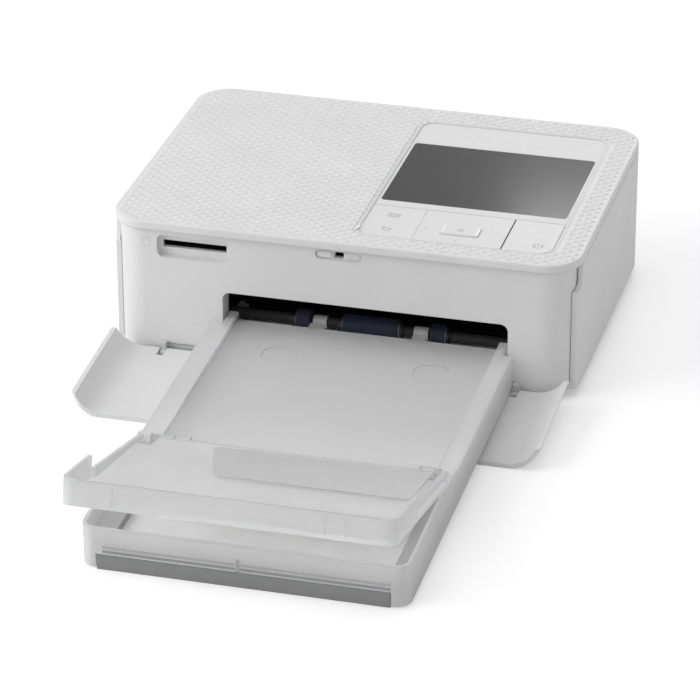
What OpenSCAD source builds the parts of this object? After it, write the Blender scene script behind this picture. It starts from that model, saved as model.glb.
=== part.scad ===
// Compact photo printer with its paper cassette in the slot and its front door open.
// Millimetres, +Z up, +X to the right seen from the front, +Y to the back.
// The origin is on the ground, half way between the tip of the cassette lid and the back.
// The modules below measure y from the front face of the top cover's rim.

/* [Body] */
// Width of the body
body_w = 182.2; // [181:0.2:190]
// Depth of the body
body_d = 133; // [131:0.5:145]
// Height of the body above the ground
body_h = 57.6; // [57:0.2:66]
// Plan radius of the body's upright corners
corner_r = 14; // [12:0.5:16]
// Wall of the front and rear panels
shell_t = 2; // [1.6:0.1:2.2]
// Thickness of the top cover's roof
top_t = 2.4; // [2:0.1:2.8]
// Height of the smooth rim round the top cover
rim_h = 3.3; // [3:0.1:4]
// Radius of the rounded edge of the rim
rim_fillet = 0.7; // [0.4:0.1:1.2]
// How far the front and rear faces lie behind the rim
face_recess = 2; // [1.8:0.1:2.6]
// Height of the rubber feet below the chassis
foot_h = 2.4; // [2.4:0.1:4]
// Radius of a rubber foot
foot_r = 5.5; // [4:0.5:7]
// Thickness of the chassis floor
floor_t = 2; // [1.6:0.1:2.2]

/* [Side panels] */
// Thickness of the side panels
side_t = 1.7; // [1.4:0.1:1.8]
// Height of the side panels' lower edge
side_z0 = 3.75; // [3.4:0.05:4.2]
// Angle by which a side panel wraps round each upright corner
side_wrap = 23; // [18:1:28]
// Lower end of the finger notch at the front of a side panel
notch_z = 44; // [40:0.5:48]
// Depth of the finger notch
notch_depth = 4.2; // [2:0.2:6]

/* [Front] */
// Middle of the paper path, to the right of the body's middle
path_x = 9.7; // [8:0.1:11]
// Width of the paper slot
slot_w = 111.3; // [111.1:0.1:112]
// Height of the paper slot's top edge
slot_top = 30.5; // [30:0.1:33]
// Thickness of the front door
door_t = 1.7; // [1.3:0.1:1.8]
// Height of the front door's hinge line
door_pivot_z = 2.6; // [2.5:0.05:2.8]
// How far the front door's hinge line lies in front of the rim's face
door_pivot_out = 0.8; // [0.7:0.05:0.9]
// Radius of the front door's corners
door_corner = 7.5; // [6:0.5:14]
// Radius of the front door's hinge pins
door_pin_r = 0.9; // [0.7:0.05:1]
// From the body's left side to the memory card recess
card_margin = 19.5; // [19.1:0.1:21]
// Width of the memory card recess
card_w = 28.7; // [28:0.1:30]

/* [Control panel] */
// From the control panel to the body's right side
panel_margin = 11.3; // [10.8:0.1:12.3]
// Front edge of the control panel, from the rim's face
panel_y = 10.3; // [9:0.1:12]
// Width of the control panel
panel_w = 75.8; // [75.4:0.1:77]
// Length of the control panel from front to back
panel_d = 109.2; // [106:0.2:112]
// Corner radius of the control panel
panel_r = 5.5; // [4:0.1:7]
// Width of the display's viewing area, a 3.5 inch panel with sides 4 to 3
view_w = 70.6; // [68:0.1:71]
// Length of the display's viewing area
view_d = 53.6; // [52:0.1:54]
// Depth of the row of keys
key_d = 27.5; // [24:0.5:28]
// Thickness of a key's cap
key_t = 1.2; // [1:0.1:1.4]
// Travel of the keys
key_travel = 0.6; // [0.3:0.05:0.7]

/* [Paper cassette] */
// Slope of the paper cassette, down towards its front
cassette_tilt = 1.8; // [1.7:0.05:1.9]
// Height of the cassette's underside where it meets the body
cassette_z = 5.9; // [5.8:0.05:6.1]
// Outer width of the paper cassette in front of the slot
cassette_w = 117.8; // [116:0.2:118.4]
// How far the middle of the cassette lies to the left of the slot's middle
cassette_shift = 0.6; // [0:0.1:0.8]
// Width of the part of the cassette that enters the slot
insert_w = 109.4; // [108.6:0.1:109.8]
// Length of the part of the cassette that enters the slot
insert_d = 29; // [26:0.5:30]
// Room in front of and behind the sheets in the cassette
sheet_room = 17; // [17:0.5:20]
// Height of the cassette's front walls above its underside
tray_h = 15.7; // [15.4:0.1:15.9]
// Height of the rails beside the rear lid, and of the lids' hinge
rail_h = 13.5; // [13.3:0.1:13.6]
// Wall thickness of the frosted mouldings
frost_t = 1.5; // [1.3:0.1:1.5]
// Distance of the lids' hinge in front of the body
lid_hinge = 91.6; // [89:0.2:95]
// Length of the front lid from its hinge
lid_len = 89.5; // [84:0.5:92]
// Angle at which the front lid stands open
lid_tilt = 12.3; // [12:0.1:16]
// Height of the front lid's end wall
lip_h = 9.4; // [8:0.2:12]
// Length of one sheet of paper with its tear-off ends
sheet_d = 172; // [160:1:174]
// Width of the paper
sheet_w = 100; // [98:0.5:101]
// Height of the stack of paper
stack_h = 1.9; // [1:0.1:1.9]

/* [Print engine] */
// Radius of the pickup rollers
pickup_r = 4.2; // [3.6:0.1:4.3]
// Distance of the pickup shaft behind the rim's face
pickup_y = 16; // [16:0.1:16.4]
// Radius of the platen roller
platen_r = 7; // [6:0.1:7.2]
// Distance of the platen behind the rim's face
platen_y = 68; // [67:0.1:69]
// Radius of the capstan and pinch rollers
capstan_r = 4; // [3.4:0.1:4.2]
// Radius of the roller shafts
shaft_r = 2; // [1.6:0.1:2.2]
// Outer radius of the ink cassette's two tubes
tube_r = 8.5; // [8:0.1:8.7]
// Distance between the ink cassette's two tubes
tube_pitch = 42; // [41:0.2:43]
// Thickness of the engine's sheet steel frames
frame_t = 1.2; // [1:0.1:1.4]
// Gear module
gear_m = 0.8; // [0.8:0.01:0.81]
// Thickness of the gears
gear_t = 3; // [2:0.1:3.4]

/* [Clearances] */
// Seam between parts that are fixed side by side
seam = 0.3; // [0.2:0.05:0.4]
// Radial clearance of a shaft or pin in its hole
run_fit = 0.06; // [0.02:0.01:0.1]
// Gap round a key
key_gap = 0.25; // [0.2:0.05:0.35]

/* [Hidden] */
$fn = 64;

// Tip of the front lid in front of the rim, and the shift that centres the whole on the origin
lid_under = -0.2;
hinge_front = lid_hinge * cos(cassette_tilt) + rail_h * sin(cassette_tilt);
tip_reach = hinge_front + lid_len * cos(lid_tilt) - lid_under * sin(lid_tilt);
front_y = (tip_reach - body_d) / 2;

card_x = -body_w / 2 + card_margin;
panel_x = body_w / 2 - panel_margin - panel_w;
cassette_reach = sheet_d + sheet_room - insert_d;
rim_z = body_h - rim_h;
roof_z = body_h - top_t;
wall_top = rim_z;
chassis_z = foot_h;
floor_z = foot_h + floor_t;
wall_z0 = side_z0 + 0.15;
sill_x0 = -body_w / 2 + 22.9;
sill_x1 = body_w / 2 - 23.4;
sill_z = 6;
inner_inset = face_recess;
side_edge_y = corner_r * (1 - sin(side_wrap));
corner_cx = body_w / 2 - corner_r;

// The ink door's hinge line
ink_axis_x = body_w / 2 - 3.8;
ink_axis_z = side_z0 + 2.25;

// Control panel heights
panel_top = body_h - seam;
ledge_w = 1.2;
ledge_z = body_h - 3.2;
well_floor = ledge_z + 1;
key_z = panel_top - key_t;
key_y1 = panel_y + key_d;
split_1 = panel_x + 21.65;
split_2 = panel_x + 55.8;
view_x = panel_x + 2.65;
view_y = panel_y + 33.65;
board_z = ledge_z - 5.5;
board_t = 1.6;
switch_h = 0.7;
stem_z = board_z + board_t + switch_h + key_travel + 0.1;

// Print engine places
engine_x0 = path_x - slot_w / 2 - 6.05;
engine_x1 = path_x + slot_w / 2 + 4.65;
pickup_z = floor_z + 11.5;
platen_z = floor_z + 10.1;
paper_z = platen_z + platen_r;
ramp_y = 33;
ramp_y1 = platen_y - 10;
capstan_y = platen_y + 40;
capstan_z = paper_z - capstan_r;
pinch_z = paper_z + capstan_r + 0.3;
head_y = platen_y + 36;
head_z = ledge_z - 9.4;
tube_y0 = platen_y + 1 - tube_pitch / 2;
tube_y1 = platen_y + 1 + tube_pitch / 2;
tube_z = 33.5;
tube_x0 = engine_x0 + 9;
tube_x1 = engine_x1 + 2;
ribbon_z = paper_z + 0.4;
gear_x = engine_x0 - 2 - gear_t;
small_teeth = 22;
large_teeth = 30;
pinion_teeth = 12;
small_r = gear_m * small_teeth / 2;
large_r = gear_m * large_teeth / 2;
pinion_r = gear_m * pinion_teeth / 2;

// Gear centres, as [y, z], worked out from the shafts that they join
function dir(a) = [cos(a), sin(a)];
function angle_to(p, q) = atan2(q[1] - p[1], q[0] - p[0]);
platen_at = [platen_y, platen_z];
pickup_at = [pickup_y, pickup_z];
capstan_at = [capstan_y, capstan_z];
chain_a = angle_to(platen_at, pickup_at);
chain_rise = acos((norm(pickup_at - platen_at) - 2 * small_r) / (4 * small_r));
idler_rear_at = platen_at + 2 * small_r * dir(chain_a - chain_rise);
idler_front_at = idler_rear_at + 2 * small_r * dir(chain_a);
large_a = angle_to(platen_at, capstan_at);
large_rise = acos(norm(capstan_at - platen_at) / (2 * (small_r + large_r)));
idler_large_at = platen_at + (small_r + large_r) * dir(large_a + large_rise);
pinion_a = 145;
pinion_at = idler_large_at + (large_r + pinion_r) * dir(pinion_a);
// Turn of a gear that meshes with one turned by turn_1, seen at the angle a
function mesh_turn(turn_1, teeth_1, a, teeth_2) =
  a + 180 + 360 / teeth_2 * (0.5 - (turn_1 - a) * teeth_1 / 360);
large_turn = mesh_turn(0, small_teeth, large_a + large_rise, large_teeth);
capstan_turn = mesh_turn(large_turn, large_teeth, angle_to(idler_large_at, capstan_at), small_teeth);
pinion_turn = mesh_turn(large_turn, large_teeth, pinion_a, pinion_teeth);
rear_turn = mesh_turn(0, small_teeth, angle_to(platen_at, idler_rear_at), small_teeth);
front_turn = mesh_turn(rear_turn, small_teeth, chain_a, small_teeth);
pickup_turn = mesh_turn(front_turn, small_teeth, angle_to(idler_front_at, pickup_at), small_teeth);

// Front door: the upper edge of the closed door rests on the ground when it is open
door_z0 = 2;
door_z1 = wall_top - 0.2;
door_reach = [door_pivot_out, door_z1 - door_pivot_z];
door_open = 90 + acos(-door_pivot_z / norm(door_reach)) - atan2(door_reach[1], door_reach[0]);
door_knuckle_r = 1.9;

// Paper cassette heights, measured from its own sloping underside
tray_floor = 1.2;
insert_z = -0.5;
insert_top = 6.5;
paper_bed = insert_z + frost_t + 2.1;
lid_pin_r = 1;
insert_y0 = -1;
lid_drop = 0.95;

// Colours
white = [0.88, 0.88, 0.88];
pale = [0.80, 0.80, 0.81];
frost = [0.83, 0.84, 0.85, 0.75];
grey = [0.52, 0.52, 0.53];
black = [0.06, 0.06, 0.07];
steel = [0.70, 0.71, 0.73];
navy = [0.10, 0.11, 0.20];
board_green = [0.10, 0.34, 0.22];

// Helpers
module at_front() {
  translate([0, front_y, 0]) children();
}
// Places what is drawn on the cassette's own sloping underside
module in_cassette() {
  at_front() translate([0, 0, cassette_z]) rotate([cassette_tilt, 0, 0]) children();
}
module block(a, b) {
  translate(a) cube(b - a);
}
module x_rod(r, x0, x1, y, z) {
  translate([x0, y, z]) rotate([0, 90, 0]) cylinder(r = r, h = x1 - x0);
}
module y_rod(r, y0, y1, x, z) {
  translate([x, y0, z]) rotate([-90, 0, 0]) cylinder(r = r, h = y1 - y0);
}
module z_rod(r, z0, z1, x, y) {
  translate([x, y, z0]) cylinder(r = r, h = z1 - z0);
}
// Extrudes a shape drawn in y and z along x
module x_extrude(x0, x1) {
  translate([x0, 0, 0]) rotate([90, 0, 90]) linear_extrude(x1 - x0) children();
}
// Extrudes a shape drawn in x and z along y
module y_extrude(y0, y1) {
  translate([0, y1, 0]) rotate([90, 0, 0]) linear_extrude(y1 - y0) children();
}
module z_extrude(z0, z1) {
  translate([0, 0, z0]) linear_extrude(z1 - z0) children();
}
module round_rect(x0, y0, x1, y1, r) {
  translate([x0 + r, y0]) square([x1 - x0 - 2 * r, y1 - y0]);
  translate([x0, y0 + r]) square([x1 - x0, y1 - y0 - 2 * r]);
  for (x = [x0 + r, x1 - r], y = [y0 + r, y1 - r]) {
    translate([x, y]) circle(r);
  }
}
// Plan outline of the body, drawn in by inset
module plan(inset) {
  round_rect(-body_w / 2 + inset, inset, body_w / 2 - inset, body_d - inset, corner_r - inset);
}
module ring(inset, t, z0, z1) {
  z_extrude(z0, z1) difference() {
    plan(inset);
    plan(inset + t);
  }
}
// Profile of the rim, rounded at its upper outer edge; x runs outwards
module rim_profile() {
  polygon(concat(
    [[0, 0], [corner_r, 0]],
    [for (i = [0 : 6]) [corner_r, rim_h] + rim_fillet * [cos(i * 15) - 1, sin(i * 15) - 1]],
    [[0, rim_h]]
  ));
}
module rim_edge(x, y, turn, len) {
  translate([x, y, rim_z]) rotate([90, 0, turn]) linear_extrude(len) rim_profile();
}
// The top cover's outer block with its rounded upper edge
module rim_block() {
  cx = body_w / 2 - corner_r;
  y1 = body_d - corner_r;
  translate([0, 0, rim_z]) {
    for (c = [[cx, corner_r, -90], [cx, y1, 0], [-cx, y1, 90], [-cx, corner_r, 180]]) {
      translate([c[0], c[1], 0]) rotate([0, 0, c[2]]) rotate_extrude(angle = 90) rim_profile();
    }
  }
  rim_edge(cx, y1, 0, y1 - corner_r);
  rim_edge(-cx, corner_r, 180, y1 - corner_r);
  rim_edge(-cx, y1, 90, 2 * cx);
  rim_edge(cx, corner_r, -90, 2 * cx);
  block([-cx, corner_r, rim_z], [cx, y1, body_h]);
}
module panel_plan(grow) {
  round_rect(panel_x - grow, panel_y - grow, panel_x + panel_w + grow, panel_y + panel_d + grow,
    panel_r + grow);
}
// A gear in y and z about the origin, with straight-sided teeth and backlash
module gear_2d(teeth, bore) {
  r = gear_m * teeth / 2;
  pitch = 360 / teeth;
  difference() {
    polygon([for (i = [0 : teeth - 1], k = [[-0.32, -1.1], [-0.10, 0.8], [0.10, 0.8], [0.32, -1.1]])
      (r + k[1] * gear_m) * dir((i + k[0]) * pitch)]);
    circle(bore);
  }
}
module gear(teeth, bore, at, turn) {
  x_extrude(gear_x, gear_x + gear_t) translate(at) rotate(turn) gear_2d(teeth, bore);
}
post_left = -body_w / 2 + 8.6;
post_right = panel_x + panel_w - 1;
post_y0 = panel_y + 11.7;
post_y1 = panel_y + panel_d - 7.5;
post_h = 12;
module at_posts() {
  for (x = [post_left, post_right], y = [post_y0, post_y1]) {
    translate([x, y, 0]) children();
  }
}

// Case
module top_cover() {
  color(white) at_front() {
    difference() {
      union() {
        difference() {
          rim_block();
          z_extrude(rim_z - 1, roof_z) plan(2.6);
        }
        z_extrude(ledge_z - 1.6, roof_z) panel_plan(seam + 1.6);
      }
      z_extrude(ledge_z, body_h + 1) panel_plan(seam);
      z_extrude(ledge_z - 2, body_h + 1) panel_plan(-ledge_w);
    }
    difference() {
      union() {
        for (y = [post_y0, post_y1]) {
          z_rod(3, floor_z + post_h, roof_z + 0.2, post_left, y);
          z_rod(2.9, floor_z + post_h, ledge_z - 1.4, post_right, y);
        }
      }
      at_posts() z_rod(1.35, floor_z + post_h - 1, floor_z + post_h + 12, 0, 0);
    }
  }
}
card_x1 = card_x + card_w;
card_z0 = wall_top - 11.8;
card_z1 = wall_top - 2.5;
pocket_y = face_recess + 3;
latch_x = -0.25;
latch_z = wall_top - 3.2;
// Room for the ink door's lower edge as it swings down
module ink_door_room(y0, y1) {
  block([ink_axis_x - 2.8, y0, 0], [body_w, y1, ink_axis_z + seam]);
}
module front_panel() {
  y0 = face_recess;
  slot_x0 = path_x - slot_w / 2;
  slot_x1 = path_x + slot_w / 2;
  color(white) at_front() difference() {
    union() {
      intersection() {
        ring(inner_inset, shell_t, wall_z0, wall_top);
        block([-body_w, -1, 0], [body_w, corner_r + 2, body_h]);
      }
      // Cheeks and lintel round the paper slot
      block([slot_x0 - 1.6, y0 + 1, wall_z0 + 1], [slot_x0, 10, slot_top + 1.6]);
      block([slot_x1, y0 + 1, wall_z0 + 1], [slot_x1 + 1.6, 10, slot_top + 1.6]);
      block([slot_x0 - 1.6, y0 + 1, slot_top], [slot_x1 + 1.6, 6, slot_top + 1.6]);
      // Pocket behind the memory card recess and behind the door catch
      block([card_x - 1.4, y0 + 1, card_z0 - 1.4], [card_x1 + 1.4, pocket_y + 1.6, wall_top]);
      block([latch_x - 10, y0 + 1, latch_z - 2.6], [latch_x + 10, y0 + 3.2, wall_top]);
    }
    y_extrude(-1, 20) {
      translate([slot_x0, 0]) square([slot_w, slot_top - 3]);
      translate([slot_x0 + 3, 0]) square([slot_w - 6, slot_top]);
      for (x = [slot_x0 + 3, slot_x1 - 3]) {
        translate([x, slot_top - 3]) circle(3);
      }
    }
    block([sill_x0, -1, 0], [sill_x1, y0 + shell_t + 0.2, sill_z + seam]);
    y_extrude(-1, pocket_y) round_rect(card_x, card_z0, card_x1, card_z1, 2.6);
    block([card_x + 1.6, -1, card_z0 + 3.2], [card_x1 - 2, 20, card_z0 + 6.1]);
    y_extrude(-1, y0 + 1) round_rect(latch_x - 9, latch_z - 1.8, latch_x + 9, latch_z + 1.8, 1.75);
    block([latch_x - 1.8, -1, latch_z - 1.25], [latch_x + 1.9, y0 + 5, latch_z + 1.25]);
    ink_door_room(side_edge_y - seam, corner_r + 3);
    // Dark slot beside the finger notch
    block([corner_cx + 2, side_edge_y + notch_depth - 1.1, notch_z + notch_depth - 2.5],
      [body_w, side_edge_y + notch_depth, wall_top]);
  }
}
fan_x = -body_w / 2 + 25.6;
fan_z = floor_z + 19.6;
fan_w = 32;
fan_y0 = body_d - 14;
fan_d = 8;
exit_z0 = paper_z - 3;
exit_z1 = paper_z + 4;
jack_x = body_w / 2 - 19.1;
jack_z = floor_z + 7;
jack_r = 3.8;
rear_y = body_d - face_recess;
module rear_panel() {
  color(white) at_front() difference() {
    intersection() {
      ring(inner_inset, shell_t, wall_z0, wall_top);
      block([-body_w, body_d - corner_r - 2, 0], [body_w, body_d + 1, body_h]);
    }
    block([path_x - 53, rear_y - 4, exit_z0], [path_x + 53, rear_y + 1, exit_z1]);
    for (i = [-3 : 3]) {
      block([fan_x - 13, rear_y - 4, fan_z + i * 4 - 1.1], [fan_x + 13, rear_y + 1, fan_z + i * 4 + 1.1]);
    }
    for (i = [0 : 7]) {
      block([20 + i * 5, rear_y - 4, 34], [22.4 + i * 5, rear_y + 1, 46]);
    }
    y_rod(jack_r + seam, rear_y - 4, rear_y + 1, jack_x, jack_z);
    ink_door_room(body_d - corner_r - 3, body_d - side_edge_y + seam);
  }
}
usb_y = 84;
module side_shell() {
  // Right-hand side panel, wrapped round both upright corners
  difference() {
    intersection() {
      ring(0, side_t, side_z0, wall_top - seam);
      block([0, side_edge_y, 0], [body_w, body_d - side_edge_y, body_h]);
    }
    // Finger notch, rounded at its lower end
    x_extrude(corner_cx, body_w) {
      translate([side_edge_y - 10, notch_z + notch_depth]) square([10 + notch_depth, body_h]);
      translate([side_edge_y, notch_z + notch_depth]) circle(notch_depth);
    }
  }
}
module left_panel() {
  color(white) at_front() difference() {
    union() {
      mirror([1, 0, 0]) side_shell();
      // Lip that closes the joint to the front panel
      intersection() {
        ring(side_t - 0.2, inner_inset - side_t + 0.1, side_z0, wall_top - seam);
        block([-body_w, side_edge_y, 0], [0, side_edge_y + 2, notch_z]);
      }
    }
    block([-body_w, usb_y - 4.8, socket_z - 0.2], [0, usb_y + 4.8, socket_z + 3.8]);
  }
}
// The ink door turns about an axis along y, low on the right
ink_pin_r = 1;
ink_knuckle_r = 1.9;
knuckle_len = 8;
knuckle_y = [22, body_d - 30];
wall_x = ink_axis_x - 4.8;
module ink_door() {
  color(white) at_front() {
    side_shell();
    for (y = knuckle_y) {
      difference() {
        union() {
          y_rod(ink_knuckle_r, y, y + knuckle_len, ink_axis_x, ink_axis_z);
          block([ink_axis_x, y, ink_axis_z - 0.8], [body_w / 2 - side_t, y + knuckle_len, ink_axis_z + 1.9]);
        }
        y_rod(ink_pin_r + run_fit, y - 1, y + knuckle_len + 1, ink_axis_x, ink_axis_z);
      }
    }
  }
}
ear_t = 2.6;
module ink_door_pins() {
  color(steel) at_front() for (y = knuckle_y) {
    y_rod(ink_pin_r, y - ear_t - seam, y + knuckle_len + ear_t + seam, ink_axis_x, ink_axis_z);
  }
}
module ink_ear(y) {
  difference() {
    union() {
      y_rod(ink_knuckle_r - 0.2, y, y + ear_t, ink_axis_x, ink_axis_z);
      block([wall_x - 1, y, ink_axis_z - 1.4], [ink_axis_x, y + ear_t, ink_axis_z + 1.7]);
    }
    y_rod(ink_pin_r + run_fit, y - 1, y + ear_t + 1, ink_axis_x, ink_axis_z);
  }
}
ear_top = 7.2;
door_ear = [[sill_x0 - 2.1, sill_x0], [sill_x1 + 0.2, sill_x1 + 2.7]];
foot_x = body_w / 2 - 18.1;
foot_y = 17;
module at_feet() {
  for (x = [-foot_x, foot_x], y = [foot_y, body_d - foot_y]) {
    translate([x, y, 0]) children();
  }
}
module bottom_chassis() {
  in_x0 = path_x - slot_w / 2;
  in_x1 = path_x + slot_w / 2;
  y0 = face_recess;
  wall_y0 = corner_r + 3;
  wall_y1 = body_d - corner_r - 3;
  color(pale) at_front() {
    difference() {
      union() {
        z_extrude(chassis_z, floor_z) plan(face_recess + shell_t + seam);
        block([-body_w / 2 + 2, wall_y0, chassis_z], [-body_w / 2 + 11, wall_y1, floor_z]);
        // Left and right walls
        block([-body_w / 2 + 2, wall_y0, chassis_z], [-body_w / 2 + 4, wall_y1, floor_z + 10]);
        block([wall_x - 1.8, wall_y0, chassis_z], [wall_x, wall_y1, floor_z + 10]);
        // Sill below the front wall, left and right of the cassette
        for (s = [[sill_x0, in_x0 - 0.6], [in_x1 + 0.5, sill_x1]]) {
          block([s[0], y0, chassis_z], [s[1], y0 + 1.8, sill_z]);
          block([s[0], y0 + 1, chassis_z], [s[1], y0 + shell_t + 2, floor_z]);
        }
        // Rails that guide the cassette, and its end stop
        block([in_x0 - 2, 10 + seam, chassis_z], [in_x0, ramp_y - 0.4, floor_z + 8]);
        block([in_x1, 10 + seam, chassis_z], [in_x1 + 2, ramp_y - 0.4, floor_z + 8]);
        block([in_x0, insert_d + 1, chassis_z], [in_x1, insert_d + 2.6, floor_z + 5]);
        at_posts() z_rod(3.4, chassis_z, floor_z + post_h, 0, 0);
        // Posts for the main board
        for (p = [[card_x - 0.4, 13], [card_x - 0.4, body_d - 26], [engine_x0 - 9, body_d - 26]]) {
          z_rod(2.2, chassis_z, main_z, p[0], p[1]);
        }
        // Ears for the hinge pins of the front door
        for (e = door_ear) {
          x_rod(door_knuckle_r, e[0], e[1], -door_pivot_out, door_pivot_z);
          block([e[0], -door_pivot_out, door_pivot_z], [e[1], y0 - seam, ear_top]);
          block([e[0], -door_pivot_out, chassis_z - 1], [e[1], y0 + shell_t + 2, wall_z0 - seam]);
        }
      }
      // Room for the lower edge of the ink door as it swings down
      block([wall_x, side_edge_y - 1, 0], [body_w, body_d - side_edge_y + 1, floor_z + 1]);
      at_posts() {
        z_rod(1.5, 0, floor_z + post_h + 1, 0, 0);
        z_rod(2.7, 0, chassis_z + 1.6, 0, 0);
      }
      for (e = door_ear) {
        x_rod(door_pin_r + run_fit, e[0] - 1, e[1] + 1, -door_pivot_out, door_pivot_z);
      }
      at_feet() z_rod(2 + run_fit, 0, floor_z + 1, 0, 0);
    }
    for (y = knuckle_y) {
      ink_ear(y - ear_t - seam);
      ink_ear(y + knuckle_len + seam);
    }
  }
}
module rubber_feet() {
  color(grey) at_front() at_feet() {
    z_rod(foot_r, 0, foot_h, 0, 0);
    z_rod(2, foot_h - 0.1, floor_z - 0.4, 0, 0);
  }
}
module case_screws() {
  color(steel) at_front() at_posts() difference() {
    union() {
      z_rod(2.4, chassis_z + 0.2, chassis_z + 1.6, 0, 0);
      z_rod(1.25, chassis_z + 1, floor_z + post_h + 9, 0, 0);
    }
    block([-0.3, -1.6, 0], [0.3, 1.6, chassis_z + 0.9]);
    block([-1.6, -0.3, 0], [1.6, 0.3, chassis_z + 0.9]);
  }
}

// Front door, drawn closed and turned down about its hinge
door_barrel = 7;
module door_turned(a) {
  translate([0, -door_pivot_out, door_pivot_z]) rotate([a, 0, 0])
    translate([0, door_pivot_out, -door_pivot_z]) children();
}
module front_door() {
  color(white) at_front() door_turned(door_open) difference() {
    union() {
      intersection() {
        ring(0, door_t, door_z0, door_z1);
        block([-body_w, -1, 0], [body_w, side_edge_y - seam, body_h]);
        y_extrude(-1, 20) {
          translate([-body_w / 2, 0]) square([body_w, door_z1 - door_corner]);
          translate([-body_w / 2 + door_corner, 0]) square([body_w - 2 * door_corner, door_z1]);
          for (x = [-1, 1]) {
            translate([x * (body_w / 2 - door_corner), door_z1 - door_corner]) circle(door_corner);
          }
        }
      }
      for (x = [door_ear[0][0] - seam - door_barrel, door_ear[1][1] + seam]) {
        x_rod(door_knuckle_r, x, x + door_barrel, -door_pivot_out, door_pivot_z);
      }
    }
    for (e = door_ear) {
      block([e[0] - seam, -1, 0], [e[1] + seam, door_t + 1, ear_top + seam]);
    }
    x_rod(door_pin_r + run_fit, -body_w / 2, body_w / 2, -door_pivot_out, door_pivot_z);
  }
}
module front_door_pins() {
  b = door_barrel - 0.6;
  color(steel) at_front() {
    x_rod(door_pin_r, door_ear[0][0] - b, door_ear[0][1] - 0.2, -door_pivot_out, door_pivot_z);
    x_rod(door_pin_r, door_ear[1][0] + 0.2, door_ear[1][1] + b, -door_pivot_out, door_pivot_z);
  }
}

// Control panel
module view_plan(grow) {
  round_rect(view_x - grow, view_y - grow, view_x + view_w + grow, view_y + view_d + grow, 0.4 + grow);
}
well_y1 = key_y1 + key_gap;
stem_places = [
  [panel_x + 11, panel_y + 6], [panel_x + 11, panel_y + 21],
  [panel_x + 26, panel_y + 12.6], [panel_x + 51.5, panel_y + 12.6],
  [panel_x + 38, panel_y + 4], [panel_x + 38, panel_y + 23],
  [panel_x + 67, panel_y + 9]
];
stem_r = 1.2;
ok_x0 = panel_x + 30.8;
ok_x1 = panel_x + 45.3;
ok_y0 = panel_y + 8;
ok_y1 = panel_y + 16.2;
module control_bezel() {
  color(white) at_front() difference() {
    union() {
      difference() {
        z_extrude(ledge_z, panel_top) panel_plan(0);
        block([panel_x - 1, panel_y - 1, well_floor], [panel_x + panel_w + 1, well_y1, body_h + 1]);
      }
      // Posts that carry the key board
      for (x = [panel_x + 8, panel_x + 31.5, panel_x + 45.5, panel_x + panel_w - 8]) {
        z_rod(1.6, board_z + board_t, ledge_z + 0.2, x, key_y1 - 2.4);
      }
    }
    z_extrude(ledge_z - 1, body_h + 1) view_plan(0);
    z_extrude(panel_top - 1.1, body_h + 1) view_plan(1);
    for (p = stem_places) {
      z_rod(stem_r + 0.3, ledge_z - 1, well_floor + 1, p[0], p[1]);
    }
    z_rod(stem_r + 0.3, ledge_z - 1, well_floor + 1, (ok_x0 + ok_x1) / 2, (ok_y0 + ok_y1) / 2);
  }
}
module display_window() {
  color([0.12, 0.13, 0.14, 0.6]) at_front() z_extrude(panel_top - 1.1, panel_top - 0.1) view_plan(0.9);
}
module display_module() {
  color(black) at_front() {
    block([view_x - 0.8, view_y - 2, ledge_z - 3.4], [view_x + view_w + 0.8, view_y + view_d + 2, ledge_z]);
    z_extrude(ledge_z - 0.2, ledge_z + 1.4) view_plan(-0.3);
  }
}
// A key cap over x0 to x1, cut from the control panel's own outline
module key_cap(x0, x1) {
  z_extrude(key_z, panel_top) intersection() {
    panel_plan(0);
    translate([x0, 0]) square([x1 - x0, key_y1]);
  }
}
module key_stem(i) {
  z_rod(stem_r, stem_z, key_z + 0.2, stem_places[i][0], stem_places[i][1]);
}
module menu_key() {
  color(white) at_front() {
    key_cap(panel_x, split_1 - key_gap / 2);
    key_stem(0);
    key_stem(1);
  }
}
module select_key() {
  color(white) at_front() {
    difference() {
      key_cap(split_1 + key_gap / 2, split_2 - key_gap / 2);
      z_extrude(key_z - 1, body_h + 1)
        round_rect(ok_x0 - key_gap, ok_y0 - key_gap, ok_x1 + key_gap, ok_y1 + key_gap, 1);
    }
    for (i = [2 : 5]) {
      key_stem(i);
    }
  }
}
module ok_button() {
  color(white) at_front() {
    z_extrude(key_z, panel_top + 0.3) round_rect(ok_x0, ok_y0, ok_x1, ok_y1, 0.8);
    z_rod(stem_r, stem_z, key_z + 0.2, (ok_x0 + ok_x1) / 2, (ok_y0 + ok_y1) / 2);
  }
}
module power_key() {
  color(white) at_front() {
    key_cap(split_2 + key_gap / 2, panel_x + panel_w);
    key_stem(6);
  }
}
module key_board() {
  color(board_green) at_front() {
    block([panel_x + 1, panel_y - 1, board_z], [panel_x + panel_w - 5.6, key_y1 - 0.4, board_z + board_t]);
    for (p = concat(stem_places, [[(ok_x0 + ok_x1) / 2, (ok_y0 + ok_y1) / 2]])) {
      block([p[0] - 1.5, p[1] - 1.5, board_z + board_t - 0.1],
        [p[0] + 1.5, p[1] + 1.5, board_z + board_t + switch_h]);
    }
  }
}

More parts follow.
